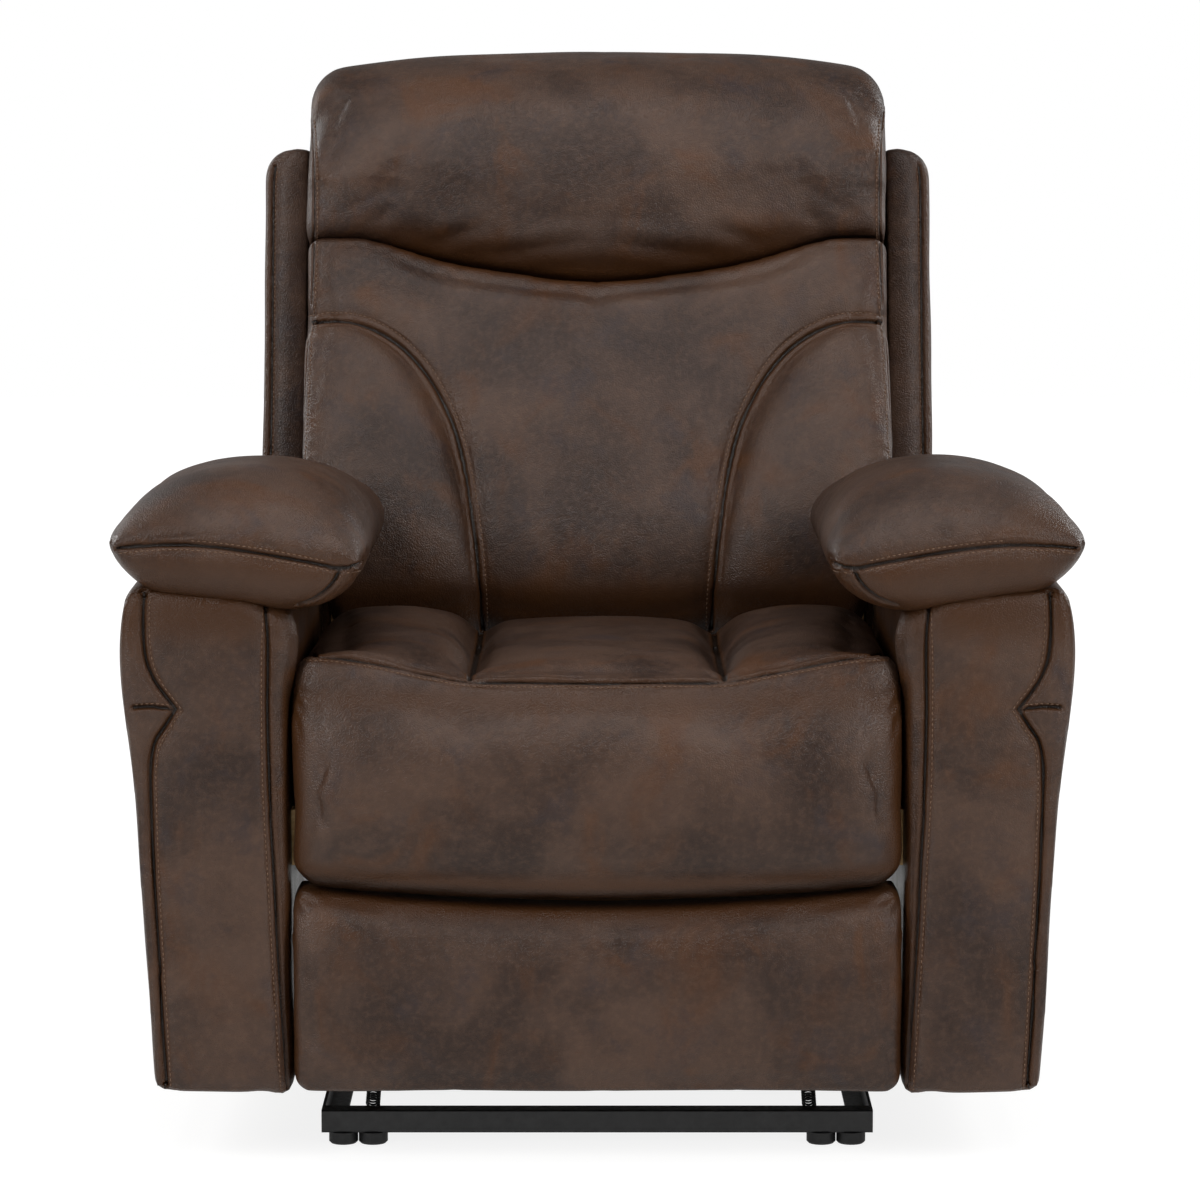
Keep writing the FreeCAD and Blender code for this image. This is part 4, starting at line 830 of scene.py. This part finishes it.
def footrest_loop(x):
    """Closed (y, z) outline of the footrest pad at x."""
    half = PAD_HALF
    a = min(abs(x), half)
    tuck = rounded(a, half, PAD_EDGE)
    top = pad_crest(a)
    front = -0.4405 + 0.7 * tuck + 0.003 * (a / half) ** 4
    points = [
        (PAD_REAR, 0.0735 + tuck), (PAD_REAR, 0.16), (PAD_REAR, top - 0.006),
        (-0.386, top - 0.0005 - tuck), (-0.403, top - tuck), (-0.4185, top - 0.0030 - tuck),
        (front + 0.0100, top - 0.0165 - 0.4 * tuck), (front + 0.0025, top - 0.040),
        (front - 0.0015, 0.185), (front - 0.0010, 0.13), (front + 0.0005, 0.094),
        (front + 0.0040, 0.0785 + 0.3 * tuck), (front + 0.011, 0.0730 + tuck), (-0.400, 0.0725 + tuck),
    ]
    return spline(points, 8, closed=True)


def footrest_pad():
    """The pad that hangs under the roll and carries the feet when it is open."""
    half = PAD_HALF
    obj = swept("FootrestPad", stations(half, PAD_EDGE, 0.15, 10, half - 0.02, 150), footrest_loop)

    def under(before, after):
        after[:, 0] = np.clip(after[:, 0], -half, half)
        after[:, 1] = np.minimum(after[:, 1], np.maximum(before[:, 1], PAD_REAR))
        after[:, 2] = np.minimum(after[:, 2], np.maximum(before[:, 2], pad_crest(after[:, 0])))
        return after

    puffed(obj, 0.0062, 1, 0.006, under)
    p = coords(obj)
    ripple(obj, 0.0016, 9.0, 5, ease((pad_crest(p[:, 0]) - 0.004 - p[:, 2]) / 0.02), (1, 1, 1.5))
    tree = surface(obj)
    creases(obj, wrinkles(tree, [(289, 893), (296, 903), (302, 922)], [(292, 890), (306, 899), (322, 906)],
                          [(290, 905), (293, 925), (294, 948)]), 0.0018, 0.0034)
    p = coords(obj)
    # Painted shade on the top of the pad, under the roll.
    add_seam_dark_and_painted_shade(obj, 0.75 * ease((p[:, 2] - pad_crest(p[:, 0]) + 0.030) / 0.030))
    # Darker along the pad's bottom edge.
    add_seam_dark_and_painted_shade(obj, 0.35 * ease((0.083 - p[:, 2]) / 0.01))
    # Painted shade at the pad's ends, beside the arms.
    add_seam_dark_and_painted_shade(obj, 0.45 * ease((np.abs(p[:, 0]) - 0.284) / 0.012))
    finished(obj, "footrest", "footrest_pad")


# Arms

INNER = 0.298


def arm_outline():
    """Front outline of the right arm as (x, z) points, anticlockwise from the inner foot."""
    points = [
        (INNER + 0.0005, 0.0745), (INNER + 0.03, 0.0722), (0.40, 0.0722), (0.4235, 0.0728),
        (0.4305, 0.078), (0.4325, 0.095), (0.4375, 0.180), (0.4425, 0.277), (0.4480, 0.360),
        (0.4550, 0.425), (0.4605, 0.480), (0.4612, 0.515), (0.4570, 0.548), (0.4480, 0.566),
        (0.42, 0.567), (0.36, 0.562), (0.318, 0.555), (0.298, 0.543), (0.2895, 0.524), (0.2885, 0.505),
        (0.2940, 0.470), (INNER + 0.0002, 0.44), (INNER + 0.0002, 0.30), (INNER + 0.0002, 0.18),
    ]
    return spline(points, 8, closed=True)


def arm_casing(side):
    """An arm's upholstered side, front panel and welts."""
    name = "Right" if side > 0 else "Left"
    outline = arm_outline()
    front, rear = -0.4355, 0.1598
    along = np.gradient(outline, axis=0)
    out2 = np.column_stack([along[:, 1], -along[:, 0]])
    out2 /= np.maximum(np.linalg.norm(out2, axis=1), 1e-9)[:, None]
    inner_share = ease((0.345 - outline[:, 0]) / 0.045)
    radius = 0.011 + 0.015 * inner_share
    depths = np.concatenate([0.026 * (1 - np.cos(np.linspace(0, 1, 12) * math.pi / 2)),
                             np.linspace(0.032, rear - front - 0.008, 66),
                             rear - front - 0.006 * np.cos(np.linspace(0.1, 1, 5) * math.pi / 2)])
    rings = []
    for depth in depths:
        t = np.clip(depth / radius, 0, 1)
        inset = radius * (1 - np.sqrt(1 - (1 - t) ** 2))
        u = min(1.0, (rear - front - depth) / 0.006)
        inset = inset + 0.006 * (1 - math.sqrt(1 - (1 - u) ** 2))
        o = outline - out2 * inset[:, None]
        bulge_off = ease((depth - 0.03) / 0.05)
        o[:, 0] = np.where(o[:, 0] < INNER + 0.0002, o[:, 0] + (INNER + 0.0002 - o[:, 0]) * bulge_off,
                           o[:, 0])
        rings.append(np.column_stack([side * o[:, 0], np.full(len(o), front + depth), o[:, 1]]))
    obj = ring_mesh("ArmCasing" + name, rings)
    remeshed(obj, 0.0066, 1)
    p = coords(obj)
    face = ease((-0.418 - p[:, 1]) / 0.012)
    puff = np.cos(np.clip((np.abs(p[:, 0]) - 0.372) / 0.062, -1, 1) * math.pi / 2)
    p[:, 1] -= 0.0040 * face * puff
    set_coords(obj, p)
    low, high = (np.array(c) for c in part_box("release_lever"))
    p = coords(obj)
    apart = np.linalg.norm(np.maximum(np.maximum(low - p, p - high), 0), axis=1)
    ripple(obj, 0.0018, 9.0, 8 + side, ease((apart - 0.02) / 0.04), (1, 0.7, 1))
    tree = surface(obj)
    inner = marked(tree, [(267, 604), (268, 640), (269, 715), (271.5, 792), (276, 870), (281, 958),
                          (286, 1030), (290, 1091)], 24, side)
    upper = marked(tree, [(144, 590), (142.6, 613), (143, 640), (146, 662), (153, 680), (164, 696),
                          (175, 710)], 20, side)
    lower = marked(tree, [(175, 710), (164, 727), (154, 743), (150, 766), (150, 800), (153, 880),
                          (159, 990), (165, 1092)], 20, side)
    cross = marked(tree, [(133, 708), (150, 707), (162, 708), (174, 709)], 14, side)
    outer = np.concatenate([upper, lower[1:]])
    refined(obj, [inner, outer, cross], 0.030, cuts=1)
    refined(obj, [inner, outer, cross], 0.012, cuts=3)
    seam(obj, inner, 0.0028, 0.010)
    seam(obj, outer, 0.0032, 0.010)
    seam(obj, cross, 0.0010, 0.006)
    gathers(obj, outer, 0.0009, 0.030, 0.008, 5.0 + side)
    p = coords(obj)
    # Darker along the casing's bottom edge.
    add_seam_dark_and_painted_shade(obj, 0.45 * ease((0.085 - p[:, 2]) / 0.012))
    # Painted shade at the top of the casing, under the pad.
    add_seam_dark_and_painted_shade(obj, 0.55 * ease((p[:, 2] - 0.488) / 0.06))
    # Painted shade on the inner roll beside the seat.
    add_seam_dark_and_painted_shade(obj, 0.80 * ease((0.308 - np.abs(p[:, 0])) / 0.010) * ease((0.50 - p[:, 2]) / 0.03))
    tree = surface(obj)
    rows = [marked(tree, px, 24, side) for px in (
        [(263, 611), (261.5, 660), (261.6, 708), (263, 792), (267.5, 870), (272.5, 958), (277, 1030),
         (281, 1091)],
        [(150, 594), (149, 615), (149.5, 640), (153, 664), (162, 684), (174, 700), (181.5, 710)],
        [(181.5, 710), (170, 729), (160, 745), (156, 768), (156, 800), (159, 880), (165, 990), (171, 1092)],
        [(134, 705), (150, 704), (162, 704.5), (170, 705)])]
    sewn_up(obj, rows, "ArmStitches" + name, "chair", "arm_casing_" + name.lower())


def pad_outline():
    """Front outline of the right arm pad at its fullest, as (x, z), from the inner bottom anticlockwise."""
    points = [
        (0.262, 0.5515), (0.300, 0.548), (0.345, 0.553), (0.400, 0.560), (0.432, 0.566), (0.452, 0.580),
        (0.4655, 0.597), (0.4705, 0.611), (0.4675, 0.622), (0.452, 0.638), (0.422, 0.656), (0.388, 0.668),
        (0.350, 0.6735), (0.308, 0.6715), (0.270, 0.660), (0.240, 0.641), (0.2245, 0.616),
        (0.2215, 0.594), (0.234, 0.570),
    ]
    return spline(points, 8, closed=True)


def arm_pad(side):
    """The pillow on an arm, full at its nose and lower towards the back."""
    name = "Right" if side > 0 else "Left"
    outline = pad_outline()
    nose = smooth([0.2215, 0.262, 0.33, 0.40, 0.4705], [0.594, 0.589, 0.594, 0.603, 0.611], outline[:, 0])
    front, rear = -0.4600, 0.176
    ys = np.concatenate([front + 0.12 * (1 - np.cos(np.linspace(0.03, 1, 30) * math.pi / 2)),
                         np.linspace(front + 0.13, rear - 0.06, 46),
                         rear - 0.056 * np.cos(np.linspace(0, 0.985, 14) * math.pi / 2)])
    rings = []
    for y in ys:
        t = np.clip((y - front) / 0.115, 0, 1)
        u = np.clip((rear - y) / 0.055, 0, 1)
        up, back = quarter(t), quarter(u)
        low = quarter(min(1, (y - front) / 0.034))
        z = outline[:, 1]
        above = z > nose
        z = nose + (z - nose) * np.where(above, up, low) * back
        fall = 0.040 * max(0.0, (y + 0.25) / 0.42) ** 1.1
        z = np.where(above, z - fall * (z - nose) / 0.08, z)
        x = outline[:, 0].copy()
        middle = 0.352
        x = middle + (x - middle) * (1 - 0.075 * (1 - up) ** 2 - 0.05 * (1 - back))
        draw = 0.100 * ease((y + 0.02) / 0.10)
        x = np.where(x < 0.40, x + draw * np.clip((0.40 - x) / 0.178, 0, 1) ** 0.8, x)
        rings.append(np.column_stack([side * x, np.full(len(x), y), z]))
    obj = ring_mesh("ArmPad" + name, rings)
    puffed(obj, 0.0060, 2, 0.006)
    ripple(obj, 0.0022, 11.0, 12 + side)
    tree = surface(obj)
    welt = marked(tree, [(112, 550), (142, 545.5), (180, 544.3), (216, 547), (248, 551.5), (290, 559),
                         (321, 565), (340, 570), (359, 567), (371, 559)], 16, side)
    short = marked(tree, [(340, 571), (334, 584), (318, 598), (297, 606.5)], 16, side)
    refined(obj, [welt, short], 0.009, cuts=2)
    seam(obj, welt, 0.0034, 0.011)
    seam(obj, short, 0.0018, 0.008, tint=0.4)
    gathers(obj, welt, 0.0012, 0.030, 0.009, 9.0 + side)
    p = coords(obj)
    a = np.abs(p[:, 0])
    # Painted shade under the front of the pad.
    low = ease((0.618 - p[:, 2]) / 0.03) * ease((-0.36 - p[:, 1]) / 0.06)
    add_seam_dark_and_painted_shade(obj, 0.42 * low)
    # A darker band across the outer part of the pad's nose.
    nose_band = bell(p[:, 2] - 0.632, 0.018) * ease((-0.36 - p[:, 1]) / 0.06)
    add_seam_dark_and_painted_shade(obj, 0.34 * ease((a - 0.36) / 0.05) * nose_band)
    tree = surface(obj)
    rows = [marked(tree, [(118, 554), (142, 551), (180, 549.5), (216, 552), (248, 556.5), (290, 563),
                          (330, 571)], 16, side),
            marked(tree, [(190, 541), (216, 543), (248, 547), (290, 554), (325, 561)], 16, side),
            marked(tree, [(346, 573), (360, 571), (371, 563)], 12, side)]
    sewn_up(obj, rows, "ArmPadStitches" + name, "chair", "arm_pad_" + name.lower())


# Backrest

ARC = [(303, 323), (312, 320), (330, 317.5), (352, 319), (375, 327), (400, 343), (422, 366), (440, 394),
       (455, 428), (467, 474), (476, 530), (481, 585), (483, 634)]
ARC_ROW = [(304, 318.5), (312, 315.5), (330, 312.8), (354, 314), (378, 322), (404, 338.5), (427, 362),
           (445, 391), (460, 426), (472, 473), (481, 530), (486, 585), (488, 634)]
SIDE_EDGE = [(307, 97), (311, 120), (313.5, 160), (314, 230), (312, 290), (308, 340), (303.5, 420),
             (300, 475)]
SIDE_OUT = 0.3170


def crease_level(x):
    """Height of the crease above the hinge, in the upright frame."""
    return 0.5355 + smooth([-0.04, 0, 0.04, 0.085, 0.125, 0.165, 0.205, 0.235, 0.262, 0.29, 0.318],
                           [0.0030, 0, 0.0030, 0.010, 0.0165, 0.025, 0.035, 0.043, 0.0475, 0.048, 0.0455],
                           np.abs(x))


def back_front(x, v):
    """How far the back cushion stands in front of the hinge plane, at x and height v."""
    a = abs(x)
    edge_x = float(smooth([0.12, 0.16, 0.20, 0.30, 0.37, 0.43, 0.47, 0.495, 0.515],
                          [0.122, 0.123, 0.126, 0.139, 0.160, 0.190, 0.222, 0.262, 0.34], v))
    low = float(smooth([0.115, 0.14, 0.19, 0.26, 0.36, 0.44, 0.50, 0.545, 0.60],
                       [0.060, 0.072, 0.099, 0.107, 0.099, 0.090, 0.083, 0.077, 0.074], v))
    crown = 0.010 * math.cos(min(1.0, a / 0.15) * math.pi / 2)
    swell = float(smooth([0.115, 0.20, 0.30, 0.38, 0.45, 0.50, 0.55],
                         [0.008, 0.024, 0.030, 0.026, 0.015, 0.004, 0.0], v))
    across = np.clip((a - edge_x) / max(0.03, 0.30 - edge_x), 0, 1)
    lobe = swell * math.sin(min(1.0, across * 1.05) ** 0.62 * math.pi * 0.62) if a > edge_x else 0.0
    return float(low + crown + lobe)


def back_cushion():
    """Centre panel and two bolsters, parted by arched seams."""
    rings = []
    foot = 0.128
    levels = np.concatenate([foot + 0.03 * (1 - np.cos(np.linspace(0, 1, 8) * math.pi / 2)),
                             np.linspace(foot + 0.035, 0.600, 110)])
    for v in levels:
        half = float(smooth([0.14, 0.18, 0.25, 0.29, 0.335, 0.60],
                            [0.276, 0.2905, 0.2915, 0.302, SIDE_OUT, SIDE_OUT], v))
        under = 1 - quarter(min(1.0, (v - foot + 0.002) / 0.034))
        edge = 0.016
        xs = np.concatenate([[half], half - edge * (1 - np.cos(np.linspace(0.15, 1, 9) * math.pi / 2)),
                             np.linspace(half - edge - 0.004, -half + edge + 0.004, 120),
                             -half + edge * (1 - np.cos(np.linspace(1, 0.15, 9) * math.pi / 2)), [-half]])
        front = [(x, -(back_front(x, v)) * (1 - 0.72 * under) + rounded(abs(x), half, edge), v) for x in xs]
        sides = [(-half, -0.030, v), (-half + 0.001, -0.012, v)]
        backs = [(x, -0.0024, v) for x in np.linspace(-half + 0.004, half - 0.004, 40)]
        rings.append(front + sides + backs + [(half - 0.001, -0.012, v), (half, -0.030, v)])
    rings = np.array(rings)
    top = crease_level(rings[..., 0]) - 0.0006
    span = (rings[..., 2] - foot) / (0.600 - foot)
    rings[..., 2] = foot + span * (top - foot)
    middle = 1 - ease((np.abs(rings[..., 0]) - 0.17) / 0.10)
    roll = 0.008 + 0.036 * middle
    over = np.clip((rings[..., 2] - top + roll) / roll, 0, 1)
    drop = (0.003 + 0.015 * middle) * (1 - np.sqrt(1 - over ** 2))
    rings[..., 1] = np.where(rings[..., 1] < -0.02, rings[..., 1] + drop, rings[..., 1])
    obj = ring_mesh("BackCushion", leaned(rings))

    def framed(before, after):
        was, now = upright(before), upright(after)
        wide = smooth([0.12, 0.18, 0.25, 0.29, 0.335, 0.60],
                      [0.276, 0.2908, 0.2918, 0.3023, SIDE_OUT, SIDE_OUT], was[:, 2])
        now[:, 0] = np.clip(now[:, 0], -wide, wide)
        now[:, 1] = np.minimum(now[:, 1], np.maximum(was[:, 1], -0.0024))
        now[:, 2] = np.minimum(now[:, 2], np.maximum(was[:, 2], crease_level(now[:, 0]) - 0.0006))
        return leaned(now)

    puffed(obj, 0.0064, 3, 0.010, framed)
    ripple(obj, 0.0020, 8.0, 21)
    tree = surface(obj)
    arcs = [marked(tree, ARC, 12, side) for side in (-1, 1)]
    edges = [marked(tree, SIDE_EDGE[2:], 14, side) for side in (-1, 1)]
    refined(obj, arcs, 0.012, cuts=2)
    refined(obj, edges, 0.006, cuts=2)
    for arc in arcs:
        seam(obj, arc, 0.0060, 0.015, depth=0.0032)
        gathers(obj, arc, 0.0014, 0.040, 0.010, 13.0)
    for edge in edges:
        seam(obj, edge, 0.0, 0.0, depth=0.0018, width=0.0013)
    q = upright(coords(obj))
    middle = 1 - 0.6 * ease((np.abs(q[:, 0]) - 0.18) / 0.10)
    facing = q[:, 1] < -0.03
    # Painted shade at the top of the cushion, under the headrest.
    add_seam_dark_and_painted_shade(obj, 0.50 * middle * ease((q[:, 2] - crease_level(q[:, 0]) + 0.022) / 0.020) * facing)
    # Darker towards the cushion's foot, above the seat.
    add_seam_dark_and_painted_shade(obj, 0.45 * ease((0.215 - q[:, 2]) / 0.04) * facing)
    tree = surface(obj)
    rows = []
    for side in (-1, 1):
        rows.append(marked(tree, ARC_ROW, 12, side))
        rows.append(onto(tree, [(x - side * 3.6, y) for x, y in seen(SIDE_EDGE[3:], 14, side)]))
    sewn_up(obj, rows, "BackStitches", "backrest", "back_cushion")


def head_loop(x):
    """Closed (y, z) outline of the headrest at x in the upright frame."""
    a = min(abs(x), SIDE_OUT)
    tuck = rounded(a, SIDE_OUT, 0.018)
    corner = rounded(a, SIDE_OUT, 0.036)
    k = a / SIDE_OUT
    low = float(crease_level(x)) + 0.0006
    top = 0.8135 - 0.0235 * k ** 2.6 - corner
    middle = 1 - float(ease((a - 0.17) / 0.11))
    front = -0.104 + 0.014 * k ** 2 + tuck
    foot = front + 0.014 + 0.026 * middle
    points = [
        (0.1135, low + 0.03 + 0.3 * tuck), (0.1135, 0.66), (0.1105, top - 0.085), (0.094, top - 0.040),
        (0.060, top - 0.012), (0.018, top), (-0.022, top - 0.009), (-0.052, top - 0.032),
        (front + 0.026, top - 0.064), (front + 0.009, top - 0.100), (front + 0.001, 0.668 - 0.02 * k),
        (front, 0.640), (front + 0.004, low + 0.058), (front + 0.013 - 0.007 * (1 - middle), low + 0.028),
        (foot - 0.006, low + 0.009), (foot + 0.010, low + 0.0006), (0.0, low + 0.0004),
        (0.060, low + 0.001), (0.106, low + 0.006),
    ]
    return spline(points, 8, closed=True)


def headrest():
    """The pillow over the crease."""
    xs = stations(SIDE_OUT, 0.036, 0.12, 16, 0.277, 140)
    obj = swept("Headrest", xs, head_loop, leaned)

    def framed(before, after):
        was, now = upright(before), upright(after)
        now[:, 0] = np.clip(now[:, 0], -SIDE_OUT, SIDE_OUT)
        now[:, 1] = np.minimum(now[:, 1], np.maximum(was[:, 1], 0.1135))
        now[:, 2] = np.maximum(now[:, 2], np.minimum(was[:, 2], crease_level(now[:, 0]) + 0.0006))
        return leaned(now)

    puffed(obj, 0.0062, 1, 0.008, framed)
    ripple(obj, 0.0030, 7.0, 31, stretch=(1, 1, 1.4))
    tree = surface(obj)
    edges = [marked(tree, SIDE_EDGE[:5], 16, side) for side in (-1, 1)]
    refined(obj, edges, 0.006, cuts=2)
    for edge in edges:
        seam(obj, edge, 0.0, 0.0, depth=0.0018, width=0.0013)
    creases(obj, wrinkles(tree, [(430, 247), (455, 236), (492, 224)], [(366, 231), (378, 219), (396, 205)],
                          [(480, 256), (540, 248), (600, 240)]), 0.0022, 0.0075)
    q = upright(coords(obj))
    middle = 1 - 0.75 * ease((np.abs(q[:, 0]) - 0.18) / 0.10)
    # Painted shade on the headrest's underside, above the crease.
    add_seam_dark_and_painted_shade(obj, 0.50 * middle * ease((crease_level(q[:, 0]) + 0.045 - q[:, 2]) / 0.040))
    tree = surface(obj)
    rows = [onto(tree, [(x - side * 3.4, y) for x, y in seen(SIDE_EDGE[1:5], 14, side)])
            for side in (-1, 1)]
    stitched(obj, rows)
    finished(obj, "backrest", "headrest")
    sewn("HeadStitches", tree, rows, "backrest")


def wing(side):
    """The upholstered side of the backrest, seen beside the cushion."""
    name = "Right" if side > 0 else "Left"
    bottom, top = -0.036, 0.699
    rings = []
    levels = np.concatenate([np.linspace(bottom, top - 0.03, 120),
                             top - 0.03 + 0.03 * np.sin(np.linspace(0.05, 1, 12) * math.pi / 2)])
    for v in levels:
        t = max(0.0, (v - (top - 0.03)) / 0.03)
        pull = 0.03 * (1 - math.sqrt(max(0.0, 1 - t * t)))
        half = 0.3705 - pull * 0.9
        slope = np.clip((0.24 - v) / 0.28, 0, 1)
        front = -0.014 + (0.116 + 0.014) * float(slope) + 0.3 * pull
        rear = 0.1175
        front = min(front, rear - 0.006)
        inner = float(smooth([-0.04, 0.24, 0.33, 0.70], [0.2925, 0.2925, 0.3195, 0.3195], v))
        points = [
            (inner, rear), (inner, (rear + front) / 2), (inner, front + 0.006), (inner + 0.006, front),
            ((inner + half) / 2, front - 0.004), (half - 0.014, front + 0.001),
            (half - 0.004, front + 0.010), (half, (front + rear) / 2), (half, rear - 0.004),
            (half - 0.004, rear), ((inner + half) / 2, rear),
        ]
        loop = spline(points, 6, closed=True)
        loop[:, 1] = np.minimum(loop[:, 1], rear)
        rings.append(np.column_stack([side * loop[:, 0], loop[:, 1], np.full(len(loop), v)]))
    obj = ring_mesh("Wing" + name, leaned(rings))
    remeshed(obj, 0.0050, 1)
    ripple(obj, 0.0012, 12.0, 41 + side)
    tree = surface(obj)
    line = marked(tree, [(274, 166), (272.5, 180), (272, 200), (271, 300), (270, 400), (269, 462)], 20,
                  side)
    refined(obj, [line], 0.012, cuts=3)
    seam(obj, line, 0.0014, 0.006)
    p = coords(obj)
    # Darker along the wing's outer edge.
    add_seam_dark_and_painted_shade(obj, 0.5 * ease((np.abs(p[:, 0]) - 0.360) / 0.004))
    tree = surface(obj)
    row = marked(tree, [(277, 170), (275.8, 182), (275.2, 200), (274.2, 300), (273.2, 400), (272.2, 462)],
                 20, side)
    sewn_up(obj, [row], "WingStitches" + name, "backrest", "back_wing_" + name.lower())


def outside_back():
    """The cover behind, with a hemmed border."""
    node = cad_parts["outside_back"]
    obj = new_object("OutsideBack", node.data.copy())
    obj.matrix_world = node.matrix_world.copy()
    points = [obj.matrix_world @ v.co for v in obj.data.vertices]
    obj.matrix_world = Matrix.Identity(4)
    set_coords(obj, np.array([tuple(p) for p in points]))
    remeshed(obj, 0.006, 1)
    tree = surface(obj)
    local = upright(coords(obj))
    foot, head = local[:, 2].min() + 0.030, local[:, 2].max() - 0.024
    corners = [(0.30, foot), (-0.30, foot), (-0.352, foot + 0.012), (-0.352, head - 0.012),
               (-0.335, head), (0.335, head), (0.352, head - 0.012), (0.352, foot + 0.012)]
    rearward = Vector(leaned((0, 1, 0)) - leaned((0, 0, 0)))

    def behind(inset):
        around = [(x * (1 - inset / 0.352), v + (inset if v < 0.3 else -inset)) for x, v in corners]
        around = evenly(np.array(around + around[:1]), 0.004)
        return landed(tree.ray_cast(Vector(leaned((x, 0.4, v))), -rearward) for x, v in around)

    hem, row = behind(0), behind(0.005)
    refined(obj, [hem], 0.010, cuts=2)
    seam(obj, hem, 0.0014, 0.008)
    sewn_up(obj, [row], "OutsideBackStitches", "backrest", "outside_back")


def stage():
    """A pale floor that keeps the shadow and turns to plain white away from the object, and the world."""
    bpy.ops.mesh.primitive_plane_add(size=16, location=(0, 2, 0))
    floor = bpy.context.object
    floor.name = "Floor"
    m = Nodes("Floor")
    m.set(base=colour("f2f2f0"), rough=0.9)
    path = m.node("ShaderNodeLightPath").outputs
    place = m.node("ShaderNodeNewGeometry").outputs["Position"]
    white = m.made("ShaderNodeEmission", "Emission", {"Color": (1, 1, 1, 1), "Strength": 1.15})
    through = m.math("MAXIMUM", path["Is Camera Ray"], path["Is Transmission Ray"])
    shown = m.math("MAXIMUM", through, m.math("MULTIPLY", path["Is Glossy Ray"], 0.35))
    away = m.made("ShaderNodeVectorMath", "Value", {0: place}, operation="LENGTH")
    share = m.math("MULTIPLY", shown, m.ramp(away, 1.0, 2.6, 0.74, 1.0))
    both = m.made("ShaderNodeMixShader", "Shader", {"Fac": share, 1: m.shader.outputs["BSDF"], 2: white})
    m.put(m.tree.nodes["Material Output"].inputs["Surface"], both)
    floor.data.materials.append(m.owner)
    w = Nodes("Studio", "worlds")
    bpy.context.scene.world = w.owner
    path = w.node("ShaderNodeLightPath").outputs
    seen_by = w.math("MAXIMUM", path["Is Camera Ray"], path["Is Transmission Ray"])
    level = w.made("ShaderNodeMapRange", "Result", {"Value": seen_by, "To Min": 0.24, "To Max": 1.0})
    back = w.tree.nodes["Background"]
    w.put(back.inputs["Color"], (1, 1, 1, 1))
    w.put(back.inputs["Strength"], level)


def lamp(name, place, target, size, power):
    """A soft box that faces its target."""
    data = bpy.data.lights.new(name, "AREA")
    data.shape = "RECTANGLE"
    data.size, data.size_y = size
    data.energy = power
    obj = bpy.data.objects.new(name, data)
    bpy.context.scene.collection.objects.link(obj)
    obj.location = place
    aim = Vector(target) - Vector(place)
    obj.rotation_euler = aim.to_track_quat("-Z", "Y").to_euler()


def lights():
    """Two tall soft boxes in front, one overhead and two faint ones behind."""
    lamp("KeyLeft", (-2.5, -2.6, 2.3), (0, 0, 0.7), (0.7, 2.2), 78)
    lamp("KeyRight", (2.5, -2.6, 2.3), (0, 0, 0.7), (0.7, 2.2), 78)
    lamp("Top", (0, -1.0, 3.6), (0, 0, 0.5), (2.4, 1.4), 45)
    lamp("RimLeft", (-2.4, 1.8, 1.8), (0, 0, 0.6), (0.6, 1.8), 32)
    lamp("RimRight", (2.4, 1.8, 1.8), (0, 0, 0.6), (0.6, 1.8), 32)


def main():
    """Builds the whole scene round the frame."""
    stage()
    lights()
    seat_cushion()
    footrest_pad()
    for side in (-1, 1):
        arm_casing(side)
        arm_pad(side)
    back_cushion()
    headrest()
    for side in (-1, 1):
        wing(side)
    outside_back()
    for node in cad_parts.values():
        for slot in node.material_slots:
            key = slot.material.name.split(".")[0] if slot.material else "leather"
            if key in MATERIALS:
                slot.material = MATERIALS[key]


main()
